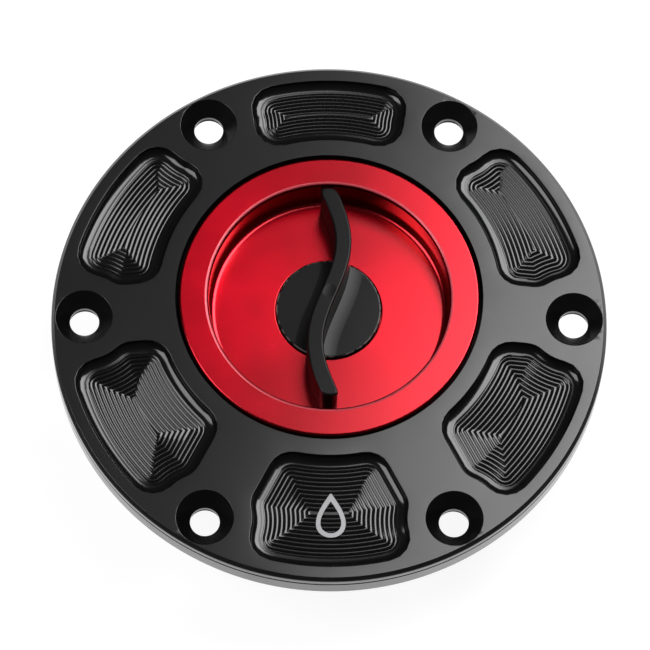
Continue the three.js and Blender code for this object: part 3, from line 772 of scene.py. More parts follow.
def cap_mesh():
    fillet_steps = 8
    fillet = []
    for i in range(1, fillet_steps):
        across, down = polar(RECESS_FILLET, math.pi / 2 * (1 - i / fillet_steps))
        fillet.append((RECESS_RADIUS - RECESS_FILLET + across, RECESS_DEPTH - RECESS_FILLET + down, 0))
    lip = []
    for i in range(fillet_steps + 1):
        across, up = polar(RECESS_LIP, math.pi / 2 * i / fillet_steps)
        lip.append((RECESS_RADIUS + RECESS_LIP - across, RECESS_LIP - up, 0))
    seal_top, seal_bottom = SEAL_GROOVE_DEPTHS
    section = eased([
        (SHAFT_HOLE_RADIUS, COUNTERBORE_DEPTH + 1), (SHAFT_HOLE_RADIUS, COUNTERBORE_DEPTH),
        (COUNTERBORE_RADIUS, COUNTERBORE_DEPTH, 0.1), (COUNTERBORE_RADIUS, RECESS_DEPTH, 0.12),
        (RECESS_RADIUS - RECESS_FILLET, RECESS_DEPTH, 0), *fillet,
        (RECESS_RADIUS, RECESS_DEPTH - RECESS_FILLET, 0), *lip, (RIM_RADIUS - 0.35, 0), (RIM_RADIUS, 0.35),
        (RIM_RADIUS, RIM_THICKNESS), (SKIRT_RADIUS, RIM_THICKNESS), (SKIRT_RADIUS, seal_top),
        (SEAL_GROOVE_RADIUS, seal_top), (SEAL_GROOVE_RADIUS, seal_bottom), (SKIRT_RADIUS, seal_bottom),
        (SKIRT_RADIUS, CAP_BOTTOM_DEPTH - 0.3), (SKIRT_RADIUS - 0.3, CAP_BOTTOM_DEPTH),
        (COVER_RADIUS + 0.3, CAP_BOTTOM_DEPTH), (COVER_RADIUS + 0.3, COVER_SHOULDER_DEPTH),
        (CHAMBER_RADIUS, COVER_SHOULDER_DEPTH), (CHAMBER_RADIUS, CEILING_DEPTH),
        (SHAFT_HOLE_RADIUS, CEILING_DEPTH), (SHAFT_HOLE_RADIUS, COUNTERBORE_DEPTH + 1.2),
    ])
    shell = turned("cap", section, 192, BORE_AXIS, ring=True)
    middle = (LATCH_WINDOW_RADIUS, 0, depths_of("latch_bolt_1")[0] - 0.4 + LATCH_WINDOW[2] / 2)
    windows = [block("window", LATCH_WINDOW, middle, latch_angle(i), BORE_AXIS) for i in range(LATCH_COUNT)]
    return combined(shell, windows, "DIFFERENCE")


# ---------------- handle


def blade_side(offset):
    """Right-hand side of the S-shaped blade from tip to tip, moved out by offset. The tips are cut square
    to the blade's chord."""
    steps = 54
    half_length = BLADE_HALF_LENGTH + offset
    side = []
    for i in range(steps + 1):
        y = (half_length + BLADE_THICKNESS) * (2 * i / steps - 1)
        phase = math.pi * y / BLADE_HALF_WAVE
        slope = BLADE_SWAY * math.pi / BLADE_HALF_WAVE * math.cos(phase)
        normal = Vector((1, -slope)).normalized()
        side.append(Vector((BLADE_SWAY * math.sin(phase), y)) + normal * (BLADE_THICKNESS / 2 + offset))
    first = next(i for i, point in enumerate(side) if point.y > -half_length)
    last = next(i for i, point in enumerate(side) if point.y > half_length) - 1
    lower = cut_at(side[first - 1], side[first], -half_length)
    upper = cut_at(side[last], side[last + 1], half_length)
    return [lower, *side[first:last + 1], upper]


def cut_at(one, other, y):
    """Point at a height between two others."""
    return one.lerp(other, (y - one.y) / (other.y - one.y))


def rounded_corner(corner, one_way, other_way, reach, steps=5):
    """Points of a corner's rounding, which starts and ends at a reach from it."""
    made = []
    for i in range(steps + 1):
        t = i / steps
        made.append(corner + one_way * reach * (1 - t) ** 2 + other_way * reach * t * t)
    return made


def blade_outline(offset):
    """The blade seen from above: square-cut tips with rounded corners."""
    side = blade_side(offset)
    reach = TIP_ROUNDING + offset
    lower, upper = side[0], side[-1]
    up = (side[3] - lower).normalized()
    down = (side[-4] - upper).normalized()
    along_lower_tip = (-upper - lower).normalized()
    along_upper_tip = (-lower - upper).normalized()
    middle = [point for point in side if min((point - lower).length, (point - upper).length) > reach]
    right = rounded_corner(lower, along_lower_tip, up, reach) + middle
    right += rounded_corner(upper, down, along_upper_tip, reach)
    whole = right + [-point for point in right]
    return [(BORE_AXIS[0] + point.x, BORE_AXIS[1] + point.y) for point in whole]


def stack(name, levels):
    """Closed piece over the blade's outlines, from [offset, depth] levels, the highest first."""
    shell = Shell()
    rows = [shell.row(blade_outline(offset), depth) for offset, depth in levels]
    for one, other in zip(rows, rows[1:]):
        shell.span(one, other)
    shell.close(rows[0], rows[-1])
    return shell.mesh(name)


def blade_mesh():
    edge_steps = 4
    levels = []
    for i in range(edge_steps + 1):
        angle = math.pi / 2 * i / edge_steps
        inset = BLADE_EASE * (1 - math.sin(angle))
        levels.append((-inset, -BLADE_RISE + BLADE_EASE * (1 - math.cos(angle))))
    levels.append((0.0, HUB_TOP_DEPTH + BLADE_ROOT))
    return stack("blade", levels)


def foot_mesh():
    """The flare from which the blade rises, steepest at the blade and no wider than the hub."""
    steps = 14
    sunk = 0.012
    levels = [(-0.4, HUB_TOP_DEPTH - FOOT_RISE)]
    for i in range(steps + 1):
        share = i / steps
        levels.append((FOOT_REACH * share - 0.02, HUB_TOP_DEPTH - FOOT_RISE * (1 - share) ** 3 + sunk))
    levels.append((levels[-1][0], HUB_TOP_DEPTH + BLADE_ROOT))
    within = HUB_RADIUS - 0.35
    limit = turned("limit", [(0, 0), (within, 0), (within, 9), (0, 9)], 128, BORE_AXIS)
    return combined(stack("foot", levels), [limit], "INTERSECT")


def handle_mesh():
    groove_top, groove_bottom = SHAFT_GROOVE_DEPTHS
    hub = turned("handle", eased([
        (0, HUB_TOP_DEPTH), (HUB_RADIUS, HUB_TOP_DEPTH, 0.3), (HUB_RADIUS, HUB_BOTTOM_DEPTH),
        (SHAFT_RADIUS, HUB_BOTTOM_DEPTH), (SHAFT_RADIUS, groove_top), (SHAFT_GROOVE_RADIUS, groove_top),
        (SHAFT_GROOVE_RADIUS, groove_bottom), (SHAFT_RADIUS, groove_bottom),
        (SHAFT_RADIUS, SHAFT_END_DEPTH), (0, SHAFT_END_DEPTH),
    ]), 128, BORE_AXIS)
    square = block("square", SHAFT_SQUARE, (0, 0, SHAFT_SQUARE_DEPTH), 0, BORE_AXIS)
    thread_top, thread_bottom = SHAFT_THREAD_DEPTHS
    tapped = turned("tapped", [
        (0, thread_top), (SHAFT_THREAD_RADIUS, thread_top),
        (SHAFT_THREAD_RADIUS, thread_bottom), (0, thread_bottom),
    ], 32, BORE_AXIS)
    dent_steps = 6
    dent = [(0, DIMPLE_DEPTH - BLADE_RISE)]
    for i in range(1, dent_steps + 1):
        t = i / dent_steps
        dent.append((DIMPLE_RADIUS * t, DIMPLE_DEPTH * (1 - t**2) - BLADE_RISE))
    dent += [(DIMPLE_RADIUS, -BLADE_RISE - 0.5), (0, -BLADE_RISE - 0.5)]
    dimple = turned("dimple", dent, 32, BORE_AXIS)
    whole = combined(hub, [blade_mesh(), foot_mesh(), square], "UNION")
    return combined(whole, [tapped, dimple], "DIFFERENCE")


# ---------------- materials


class Look:
    """A material being put together from nodes round one Principled shader."""

    def __init__(self, name, **settings):
        self.material = bpy.data.materials.new(name)
        self.material.use_nodes = True
        self.nodes = self.material.node_tree.nodes
        self.links = self.material.node_tree.links
        self.shader = self.nodes["Principled BSDF"]
        for socket, value in settings.items():
            self.shader.inputs[socket.replace("_", " ")].default_value = value
        self.place = self.add("ShaderNodeTexCoord").outputs["Object"]

    def add(self, kind, **inputs):
        node = self.nodes.new(kind)
        for name, value in inputs.items():
            self.feed(node.inputs[name.replace("_", " ")], value)
        return node

    def feed(self, socket, value):
        if isinstance(value, bpy.types.NodeSocket):
            self.links.new(value, socket)
        else:
            socket.default_value = value

    def set(self, socket, value):
        """Links a shader's socket to what varies over the surface."""
        self.links.new(value, self.shader.inputs[socket])

    def maths(self, operation, one, other=0.0, third=0.0):
        node = self.nodes.new("ShaderNodeMath")
        node.operation = operation
        for socket, value in zip(node.inputs, (one, other, third)):
            self.feed(socket, value)
        return node.outputs[0]

    def ranged(self, value, low, high, to_low=0.0, to_high=1.0):
        """The value, smoothly taken from one range to another and held at its ends."""
        node = self.add("ShaderNodeMapRange", Value=value)
        node.interpolation_type = "SMOOTHSTEP"
        ends = {"From Min": low, "From Max": high, "To Min": to_low, "To Max": to_high}
        for name, number in ends.items():
            self.feed(node.inputs[name], number)
        return node.outputs["Result"]

    def noise(self, grain, detail=2.0, distortion=0.0):
        """Noise whose features are about the grain across, in millimetres."""
        node = self.add("ShaderNodeTexNoise", Vector=self.place, Scale=1 / (grain * MM), Detail=detail)
        node.inputs["Distortion"].default_value = distortion
        return node.outputs["Fac"]

    def blend(self, share, one, other):
        """Colour between two others."""
        node = self.nodes.new("ShaderNodeMix")
        node.data_type = "RGBA"
        self.feed(node.inputs["Factor"], share)
        self.feed(node.inputs["A"], one)
        self.feed(node.inputs["B"], other)
        return node.outputs["Result"]

    def specks(self, spacing, size):
        """1 on a few round specks and 0 between them."""
        node = self.add("ShaderNodeTexVoronoi", Vector=self.place, Scale=1 / (spacing * MM))
        near = self.ranged(node.outputs["Distance"], size / spacing, 0.6 * size / spacing)
        draw = self.add("ShaderNodeSeparateColor", Color=node.outputs["Color"]).outputs[0]
        return self.maths("MULTIPLY", near, self.maths("GREATER_THAN", draw, 0.8))

    def rise(self):
        """Height in millimetres."""
        parts = self.add("ShaderNodeSeparateXYZ", Vector=self.place)
        return self.maths("DIVIDE", parts.outputs[2], MM)

    def near(self, value, middle, reach):
        """1 where the value is at the middle, and 0 from a reach away."""
        off = self.maths("ABSOLUTE", self.maths("SUBTRACT", value, middle))
        return self.ranged(off, reach, 0.3 * reach)

    def bumped(self, height, distance, strength=1.0):
        """Bumps that rise by up to distance, in millimetres."""
        node = self.add("ShaderNodeBump", Height=height, Distance=distance * MM, Strength=strength)
        self.set("Normal", node.outputs["Normal"])

    def vector(self, operation, one, other):
        node = self.nodes.new("ShaderNodeVectorMath")
        node.operation = operation
        self.feed(node.inputs[0], one)
        self.feed(node.inputs[1], other)
        return node.outputs[0]

    def round_axis(self, axis):
        """Direction of travel round an upright axis."""
        away = self.vector("SUBTRACT", self.place, (axis[0] * MM, axis[1] * MM, 0))
        return self.vector("CROSS_PRODUCT", (0, 0, 1), away)

    def from_axis(self, axis):
        """Distance from an upright axis, in millimetres."""
        away = self.vector("SUBTRACT", self.place, (axis[0] * MM, axis[1] * MM, 0))
        parts = self.add("ShaderNodeSeparateXYZ", Vector=away)
        squares = [self.maths("POWER", parts.outputs[i], 2.0) for i in (0, 1)]
        return self.maths("DIVIDE", self.maths("SQRT", self.maths("ADD", *squares)), MM)


def colour(red, green, blue):
    return (red, green, blue, 1.0)


def black_anodised(
    name, gloss, gloss_roughness, body_specular, body_roughness, grain_height, glint_ring_radius=None,
):
    """Black dye under a glossy oxide film: almost no body colour, and a dull sheen below the gloss."""
    look = Look(
        name, IOR=1.5, Specular_IOR_Level=body_specular,
        Coat_Weight=gloss, Coat_IOR=1.65, Coat_Roughness=gloss_roughness,
    )
    smudges = look.noise(14, 4, distortion=0.6)
    grain = look.noise(0.16, 3)
    dust = look.specks(5.5, 0.07)
    body = look.blend(smudges, colour(0.0022, 0.0022, 0.0024), colour(0.005, 0.005, 0.0052))
    # Optional ring along the hub's top edge, lighter grey in broken patches: partly edge wear, partly a
    # painted glint of the edge.
    if glint_ring_radius:
        broken = look.ranged(look.noise(0.9, 4), 0.42, 0.54)
        at_top = look.near(look.rise(), FLANGE_TOP - HUB_TOP_DEPTH, 0.5)
        rim = look.maths("MULTIPLY", look.near(look.from_axis(BORE_AXIS), glint_ring_radius, 0.25), at_top)
        rubbed_glint = look.maths("MULTIPLY", rim, broken)
        # From here the grey mix below takes both the real dust specks and the painted glint ring.
        dust = look.maths("MAXIMUM", dust, rubbed_glint)
    look.set("Base Color", look.blend(dust, body, colour(0.18, 0.18, 0.17)))
    look.set("Roughness", look.ranged(smudges, 0.3, 0.75, body_roughness - 0.05, body_roughness + 0.08))
    look.bumped(grain, grain_height)
    return look.material


def red_anodised():
    """Red dye under a clear oxide film, on turned aluminium."""
    look = Look(
        "red_anodised", Metallic=1.0, Coat_Weight=0.72, Coat_Roughness=0.16, Coat_IOR=1.5,
        Anisotropic=0.55, Anisotropic_Rotation=0.25,
    )
    look.set("Tangent", look.round_axis(BORE_AXIS))
    smudges = look.noise(11, 3, distortion=0.2)
    grain = look.noise(0.2, 2)
    dust = look.specks(4.5, 0.08)
    radius = look.from_axis(BORE_AXIS)
    # Light pink ring round the recess's lip: a painted highlight of the lip's rounding, together with edge
    # wear; it is rougher too.
    lip_wear_and_highlight = look.near(radius, RECESS_RADIUS + 0.55, 0.32)
    marks = look.maths("SINE", look.maths("MULTIPLY", radius, 2 * math.pi / 0.21))
    body = look.blend(smudges, colour(0.55, 0.001, 0.01), colour(0.66, 0.002, 0.018))
    dust_and_lip_highlight = look.maths("MAXIMUM", dust, look.maths("MULTIPLY", lip_wear_and_highlight, 0.6))
    look.set("Base Color", look.blend(dust_and_lip_highlight, body, colour(0.9, 0.2, 0.25)))
    gloss = look.ranged(smudges, 0.3, 0.75, 0.23, 0.28)
    look.set("Roughness", look.maths("MULTIPLY_ADD", lip_wear_and_highlight, 0.35, gloss))
    height = look.maths("MULTIPLY_ADD", marks, 0.3, look.maths("MULTIPLY", grain, 0.6))
    look.bumped(height, 0.001)
    return look.material


def bare_metal(name, one, other, roughness, turned_marks=False):
    """Machined metal, with turning marks round the bore's axis or the fine mottle of a ground surface."""
    look = Look(name, Metallic=1.0)
    stains = look.noise(6, 4, distortion=0.4)
    grain = look.noise(0.12, 3)
    look.set("Base Color", look.blend(stains, one, other))
    look.set("Roughness", look.ranged(stains, 0.3, 0.75, roughness - 0.05, roughness + 0.08))
    height = grain
    if turned_marks:
        look.set("Tangent", look.round_axis(BORE_AXIS))
        look.shader.inputs["Anisotropic"].default_value = 0.6
        look.shader.inputs["Anisotropic Rotation"].default_value = 0.25
        marks = look.maths("SINE", look.maths("MULTIPLY", look.from_axis(BORE_AXIS), 2 * math.pi / 0.3))
        height = look.maths("MULTIPLY_ADD", marks, 0.5, grain)
    look.bumped(height, 0.002)
    return look.material


def soft_black():
    """Moulded rubber, a little dusty, with flow marks too fine to feel."""
    look = Look("rubber", IOR=1.5, Specular_IOR_Level=0.4)
    bloom = look.noise(5, 5, distortion=0.8)
    grain = look.noise(0.25, 4)
    look.set("Base Color", look.blend(bloom, colour(0.006, 0.006, 0.006), colour(0.02, 0.02, 0.021)))
    look.set("Roughness", look.ranged(bloom, 0.3, 0.75, 0.48, 0.68))
    look.bumped(grain, 0.004)
    return look.material


def acetal():
    """White bearing plastic, waxy, turned from bar."""
    look = Look("acetal", IOR=1.48, Subsurface_Weight=0.15, Subsurface_Scale=0.001)
    tint = look.noise(4, 3)
    marks = look.maths("SINE", look.maths("MULTIPLY", look.from_axis(BORE_AXIS), 2 * math.pi / 0.25))
    look.set("Base Color", look.blend(tint, colour(0.74, 0.72, 0.66), colour(0.82, 0.81, 0.77)))
    look.set("Roughness", look.ranged(tint, 0.3, 0.7, 0.35, 0.48))
    look.bumped(marks, 0.001)
    return look.material


def panel_light(name, strength, near_level, near_fade):
    """Light of a studio panel, even across it, with soft edges.

    Its near end starts at a share of the full strength, and fades in over a share of the panel's length
    that goes from one value at the lower side to another at the upper side.
    """
    look = Look(name, Base_Color=colour(0, 0, 0), Specular_IOR_Level=0.0)
    place = look.add("ShaderNodeSeparateXYZ", Vector=look.add("ShaderNodeTexCoord").outputs["Generated"])
    along, aside = place.outputs[0], place.outputs[1]
    fade = look.ranged(aside, 0.3, 0.6, *near_fade)
    level = look.ranged(along, 0, fade)
    for share in (
        look.ranged(along, 0, 0.45, near_level, 1),
        look.ranged(along, 1, 0.9),
        look.ranged(aside, 0, 0.12),
        look.ranged(aside, 1, 0.88),
    ):
        level = look.maths("MULTIPLY", level, share)
    look.set("Emission Strength", look.maths("MULTIPLY", level, strength))
    look.shader.inputs["Emission Color"].default_value = colour(1, 1, 1)
    return look.material


black_blasted = black_anodised("black_blasted", 0.95, 0.13, 0.25, 0.45, 0.0008)
black_milled = black_anodised("black_milled", 0.95, 0.13, 0.05, 0.4, 0.0004)
black_satin = black_anodised("black_satin", 0.28, 0.2, 0.08, 0.5, 0.0012, glint_ring_radius=HUB_RADIUS - 0.05)
black_dull = black_anodised("black_dull", 0.15, 0.5, 0.05, 0.6, 0.001)

red = red_anodised()
rubber = soft_black()
white_plastic = acetal()
steel = bare_metal("steel", colour(0.42, 0.42, 0.43), colour(0.55, 0.55, 0.56), 0.3)
bright_steel = bare_metal("bright_steel", colour(0.6, 0.6, 0.61), colour(0.68, 0.68, 0.69), 0.16)
aluminium = bare_metal(
    "aluminium", colour(0.62, 0.63, 0.65), colour(0.72, 0.73, 0.75), 0.32, turned_marks=True,
)
brass = bare_metal("brass", colour(0.6, 0.4, 0.14), colour(0.72, 0.5, 0.2), 0.27)
silver = bare_metal("silver", colour(0.33, 0.33, 0.34), colour(0.42, 0.42, 0.43), 0.42)

# ---------------- pieces

stand_in("flange_ring", flange_mesh(), black_blasted, black_milled, black_dull)
stand_in("cap_body", cap_mesh(), red)
stand_in("turn_handle", handle_mesh(), black_satin)


def outline_of_gasket_hole(i):
    return circle(GASKET_HOLE_RADIUS, 40, screw_centre(i))


def outline_of_cover_screw_hole(i):
    return circle(COVER_SCREW_HOLE_RADIUS, 32, cover_screw_centre(i))


stand_in("flange_gasket", plate(
    "gasket", circle(radius_of("flange_gasket"), 224, FLANGE_AXIS),
    [circle(SPIGOT_RADIUS + 0.5, 192, FLANGE_AXIS), *map(outline_of_gasket_hole, range(SCREW_COUNT))],
    *depths_of("flange_gasket"), 0.12,
), rubber)
stand_in("cover_gasket", plate(
    "cover_gasket", circle(COVER_RADIUS, 160, BORE_AXIS),
    [circle(CHAMBER_RADIUS + 0.2, 144, BORE_AXIS), *map(outline_of_cover_screw_hole, range(LATCH_COUNT))],
    *depths_of("cover_gasket"), 0.06,
), rubber)


def washer(node, radii, ease):
    return ring_section(*radii, *depths_of(node), ease)


# Rings and washers: node, section, segments, axis, material.
seal_low, seal_high = corners_of("cap_o_ring")
seal_radius = (seal_high.z - seal_low.z) / 2
seal = round_section(radius_of("cap_o_ring") - seal_radius, seal_radius, middle_depth("cap_o_ring"))
spindle_seal = round_section(SPINDLE_RING_RADIUS, SPINDLE_RING_SECTION, middle_depth("spindle_o_ring"))
vent_axis = centre_of("vent_ball")
for node, section, segments, centre, material in (
    ("cap_o_ring", seal, 160, BORE_AXIS, rubber),
    ("spindle_o_ring", spindle_seal, 64, BORE_AXIS, rubber),
    ("thrust_washer", washer("thrust_washer", THRUST_WASHER_RADII, 0.06), 96, BORE_AXIS, white_plastic),
    ("cam_washer", washer("cam_washer", CAM_WASHER_RADII, 0.08), 64, BORE_AXIS, steel),
    ("vent_plug", washer("vent_plug", VENT_PLUG_RADII, 0.08), 48, vent_axis, brass),
):
    stand_in(node, turned(node, section, segments, centre, ring=True), material)

for node, radius, material in (
    ("stop_pin", STOP_PIN_RADIUS, steel),
    ("follower_pin_1", FOLLOWER_PIN_RADIUS, bright_steel),
    ("follower_pin_2", FOLLOWER_PIN_RADIUS, bright_steel),
    ("follower_pin_3", FOLLOWER_PIN_RADIUS, bright_steel),
):
    stand_in(node, turned(node, rod_profile(radius, *depths_of(node)), 48, centre_of(node)), material)
for node, radius in (("detent_ball", DETENT_BALL_RADIUS), ("vent_ball", VENT_BALL_RADIUS)):
    stand_in(node, turned(node, ball_profile(radius, middle_depth(node)), 48, centre_of(node)), bright_steel)

detent_axis = centre_of("detent_ball")
stand_in("detent_spring", coil("detent_spring", detent_axis, *DETENT_SPRING), bright_steel)
stand_in("vent_spring", coil("vent_spring", vent_axis, *VENT_SPRING), bright_steel)

# Cover with its countersunk screws and the vent valve. The cutters run past both of its faces.
cover = turned("cover", eased([
    (0, COVER_TOP_DEPTH), (COVER_SPIGOT_RADIUS, COVER_TOP_DEPTH),
    (COVER_SPIGOT_RADIUS, COVER_FACE_DEPTH, 0.05),
    (COVER_RADIUS, COVER_FACE_DEPTH), (COVER_RADIUS, CAP_BOTTOM_DEPTH - 0.3),
    (COVER_RADIUS - 0.3, CAP_BOTTOM_DEPTH), (0, CAP_BOTTOM_DEPTH),
]), 160, BORE_AXIS)
above, below = 18, 22
cover_cutters = [turned("vent_hole", [
    (0, above), (VENT_HOLE_RADIUS, above), (VENT_HOLE_RADIUS, below), (0, below),
], 64, vent_axis)]
for i in range(LATCH_COUNT):
    at = cover_screw_centre(i)
    cover_cutters.append(turned("screw_hole", [
        (0, above), (COVER_SCREW_HOLE_RADIUS, above),
        (COVER_SCREW_HOLE_RADIUS, COVER_SCREW_HEAD_DEPTH - 0.05),
        (COVER_COUNTERSINK_RADIUS, CAP_BOTTOM_DEPTH - 0.1), (COVER_COUNTERSINK_RADIUS, below), (0, below),
    ], 48, at))
    screw = turned("screw", eased([
        (0, COVER_SCREW_TIP_DEPTH), (COVER_SCREW_RADIUS - 0.3, COVER_SCREW_TIP_DEPTH),
        (COVER_SCREW_RADIUS, COVER_SCREW_TIP_DEPTH + 0.4), (COVER_SCREW_RADIUS, COVER_SCREW_HEAD_DEPTH),
        (COVER_SCREW_HEAD_RADIUS, CAP_BOTTOM_DEPTH - 0.12),
        (COVER_SCREW_HEAD_RADIUS, CAP_BOTTOM_DEPTH - 0.05), (0, CAP_BOTTOM_DEPTH - 0.05),
    ], 0.06), 64, at)
    socket = hexagon_hole(COVER_SOCKET_RADIUS, CAP_BOTTOM_DEPTH - 1, CAP_BOTTOM_DEPTH + 1, at)
    stand_in(f"cover_screw_{i + 1}", combined(screw, [socket], "DIFFERENCE"), bright_steel)
stand_in("bottom_cover", combined(cover, cover_cutters, "DIFFERENCE"), aluminium)

hexagon_top, hexagon_bottom = CAP_BOTTOM_DEPTH + 0.1, depths_of("vent_valve_body")[1]
hexagon = hexagon_hole(VENT_HEXAGON_RADIUS, hexagon_top, hexagon_bottom, vent_axis)
rounding = turned("rounding", [
    (0, hexagon_top - 1), (VENT_HEXAGON_RADIUS + 0.3, hexagon_top - 1),
    (VENT_HEXAGON_RADIUS + 0.3, hexagon_bottom - 0.35), (VENT_HEXAGON_RADIUS - 0.5, hexagon_bottom),
    (0, hexagon_bottom),
], 96, vent_axis)
barrel_top, barrel_bottom = VENT_BARREL_DEPTHS
barrel = turned("barrel", eased([
    (0, barrel_top), (VENT_BARREL_RADIUS, barrel_top, 0.3),
    (VENT_BARREL_RADIUS, barrel_bottom), (0, barrel_bottom),
]), 96, vent_axis)
passage = turned("passage", [
    (0, barrel_top - 1), (VENT_PASSAGE_RADIUS, barrel_top - 1), (VENT_PASSAGE_RADIUS, VENT_BORE_DEPTH - 1.2),
    (VENT_BORE_RADIUS, VENT_BORE_DEPTH), (VENT_BORE_RADIUS, barrel_bottom + 2), (0, barrel_bottom + 2),
], 64, vent_axis)
valve = combined(combined(hexagon, [rounding], "INTERSECT"), [barrel], "UNION")
stand_in("vent_valve_body", combined(valve, [passage], "DIFFERENCE"), brass)

tip, seat, end = CAM_SCREW_DEPTHS
cam_screw = turned("cam_screw", eased([
    (0, tip), (CAM_SCREW_RADIUS - 0.3, tip), (CAM_SCREW_RADIUS, tip + 0.3), (CAM_SCREW_RADIUS, seat),
    (CAM_SCREW_HEAD_RADIUS, seat), (CAM_SCREW_HEAD_RADIUS, end - 0.2, 0.4), (0, end),
]), 80, BORE_AXIS)
cam_socket = hexagon_hole(CAM_SOCKET_RADIUS, CAM_SOCKET_DEPTH, CAM_SOCKET_DEPTH + 2.5, BORE_AXIS)
stand_in("cam_screw", combined(cam_screw, [cam_socket], "DIFFERENCE"), steel)


# Cam disc: spiral slots that draw the latches, a slot for the stop pin, a groove for the detent ball.


def spiral(i):
    first = latch_angle(i)
    return lambda t: polar(PIN_START_RADIUS + LATCH_STROKE * t, first + QUARTER_TURN * t, BORE_AXIS)


def arc(start):
    return lambda t: polar(STOP_CIRCLE_RADIUS, start + QUARTER_TURN * t, BORE_AXIS)


cam_top, cam_bottom = depths_of("cam_disc")
half = CAM_SQUARE_HALF
square = (-half, -half), (half, -half), (half, half), (-half, half)
square_hole = [(BORE_AXIS[0] + x, BORE_AXIS[1] + y) for x, y in square]
slots = [band(spiral(i), SLOT_HALF_WIDTH, 20) for i in range(LATCH_COUNT)]
stop_slot = band(arc(bearing(centre_of("stop_pin"), BORE_AXIS)), STOP_SLOT_HALF_WIDTH, 20)
cam_rim = circle(radius_of("cam_disc"), 128, BORE_AXIS)
cam = plate("cam", cam_rim, [square_hole, *slots, stop_slot], cam_top, cam_bottom)
groove_shell = Shell()
groove_outline = band(arc(bearing(detent_axis, BORE_AXIS)), DETENT_GROOVE_HALF_WIDTH, 20)
groove_depths = cam_top - 1, cam_top + DETENT_GROOVE_DEPTH
groove_rows = [groove_shell.row(groove_outline, depth) for depth in groove_depths]
groove_shell.span(*groove_rows)
groove_shell.close(*groove_rows)
stand_in("cam_disc", combined(cam, [groove_shell.mesh("groove")], "DIFFERENCE"), steel)

# Latches: bars with a nose that is round with the neck's groove and runs in at its foot.


def latch_outline(i, nose_radius):
    half, inner_end = LATCH_HALF_WIDTH, LATCH_INNER_END
    spread = math.asin(half / nose_radius)
    nose = [polar(nose_radius, spread * (2 * k / 16 - 1)) for k in range(17)]
    flat = [
        (inner_end, 1 - half), (inner_end + 1, -half), *nose, (inner_end + 1, half), (inner_end, half - 1),
    ]
    turn = latch_angle(i)
    return [polar(math.hypot(x, y), math.atan2(y, x) + turn, BORE_AXIS) for x, y in flat]


for i in range(LATCH_COUNT):
    node = f"latch_bolt_{i + 1}"
    pin_hole = circle(PIN_HOLE_RADIUS, 40, polar(PIN_START_RADIUS, latch_angle(i), BORE_AXIS))
    foot = drawn_in(latch_outline(i, LATCH_FOOT_RADIUS), 0.1)
    stand_in(node, plate(
        node, latch_outline(i, LATCH_NOSE_RADIUS), [pin_hole], *depths_of(node),
        foot_inset=(LATCH_FOOT_HEIGHT, foot),
    ), steel)

# ---------------- mark in the front pocket


def drop_outline(width, height, middle):
    """Outline of a falling drop with its blunt tip towards +Y."""
    steps, tip = 60, 0.35
    made = []
    for i in range(steps + 1):
        t = -tip - 2 * (math.pi - tip) * i / steps
        across = math.sin(t) * abs(math.sin(t / 2)) ** 1.2
        made.append((middle[0] + 0.6 * width * across, middle[1] + height / 2 * math.cos(t)))
    return made


def mark_mesh():
    """A plain drop, the usual sign for fuel, just proud of the pocket's ridges."""
    x, y = MARK_CENTRE
    outside = drop_outline(*MARK_SIZE, (x, y))
    inside = drop_outline(*MARK_HOLE_SIZE, (x, y - MARK_HOLE_DROP))
    return plate("mark", outside, [inside], RIDGE_DEPTH - MARK_RISE, RIDGE_DEPTH + MARK_ROOT, 0.03)


mark = placed("fuel_mark", mark_mesh())
mark.data.materials.append(silver)
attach(mark, frame["nodes"]["flange_ring"]["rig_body"])

# ---------------- stage, light and camera

VIEW_ELEVATION = math.radians(67.38)
VIEW_AZIMUTH = math.radians(-2.44)
VIEW_ROLL = math.radians(2.55)
VIEW_DISTANCE = 875.24 * MM
LENS = 245.0
SHIFT = (-0.00665, -0.01077)


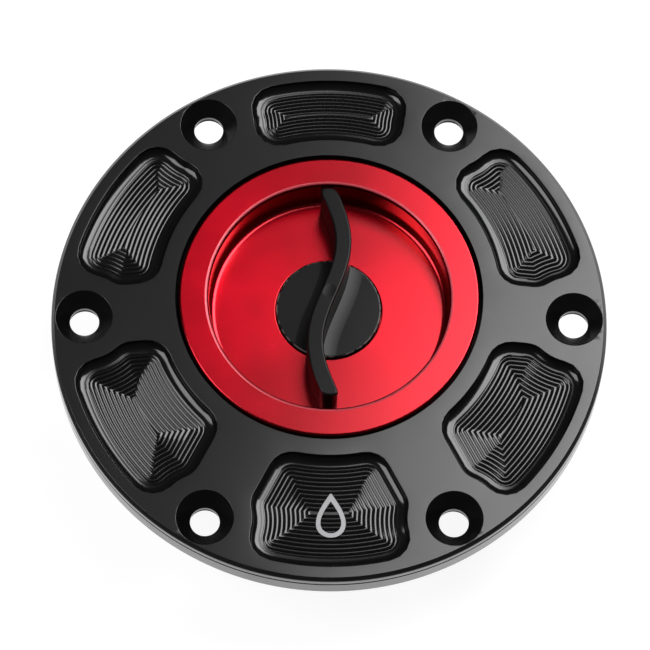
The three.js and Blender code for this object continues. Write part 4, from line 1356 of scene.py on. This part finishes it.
def make_camera():
    target = Vector((0, 0, FLANGE_TOP * MM))
    back = Vector((
        math.sin(VIEW_AZIMUTH) * math.cos(VIEW_ELEVATION),
        -math.cos(VIEW_AZIMUTH) * math.cos(VIEW_ELEVATION),
        math.sin(VIEW_ELEVATION),
    ))
    level = Vector((math.cos(VIEW_AZIMUTH), math.sin(VIEW_AZIMUTH), 0))
    upward = back.cross(level)
    right = level * math.cos(VIEW_ROLL) + upward * math.sin(VIEW_ROLL)
    up = upward * math.cos(VIEW_ROLL) - level * math.sin(VIEW_ROLL)
    data = bpy.data.cameras.new("camera")
    data.lens = LENS
    data.sensor_width = 36
    data.shift_x, data.shift_y = SHIFT
    data.clip_start, data.clip_end = 0.01, 50
    camera = placed("camera", data)
    turn = Matrix((right, up, back)).transposed()
    camera.matrix_world = Matrix.Translation(target + back * VIEW_DISTANCE) @ turn.to_4x4()
    bpy.context.scene.camera = camera


def panel(name, centre, size, material):
    """A studio light's face, in metres, that looks at the object."""
    bpy.ops.mesh.primitive_plane_add(size=1)
    face = bpy.context.object
    face.name = name
    away = (Vector(centre) - Vector((0, 0, FLANGE_TOP * MM))).normalized()
    aside = away.cross(Vector((1, 0, 0))).normalized()
    turn = Matrix((aside.cross(away), aside, away)).transposed()
    face.matrix_world = Matrix.Translation(centre) @ turn.to_4x4() @ Matrix.Diagonal((*size, 1, 1))
    face.data.materials.append(material)
    face.visible_camera = False


def make_floor():
    bpy.ops.mesh.primitive_plane_add(size=8)
    floor = bpy.context.object
    floor.name = "floor"
    paper = Look("paper", Base_Color=colour(0.25, 0.25, 0.25), Roughness=0.9, Specular_IOR_Level=0.1)
    paper.shader.inputs["Emission Color"].default_value = colour(1, 1, 1)
    paper.shader.inputs["Emission Strength"].default_value = 0.92
    floor.data.materials.append(paper.material)


make_camera()
make_floor()
panel("right_panel", (0.28, 0.28, 0.684), (0.6, 0.46), panel_light("right_light", 6.0, 0.4, (0.02, 0.24)))
panel("left_panel", (-0.5, -0.06, 0.62), (0.55, 0.38), panel_light("left_light", 3.5, 1.0, (0.1, 0.1)))

world = bpy.data.worlds.new("world")
world.use_nodes = True
world.node_tree.nodes["Background"].inputs["Color"].default_value = (0.03, 0.03, 0.03, 1)
bpy.context.scene.world = world
bpy.context.scene.view_settings.view_transform = "Standard"
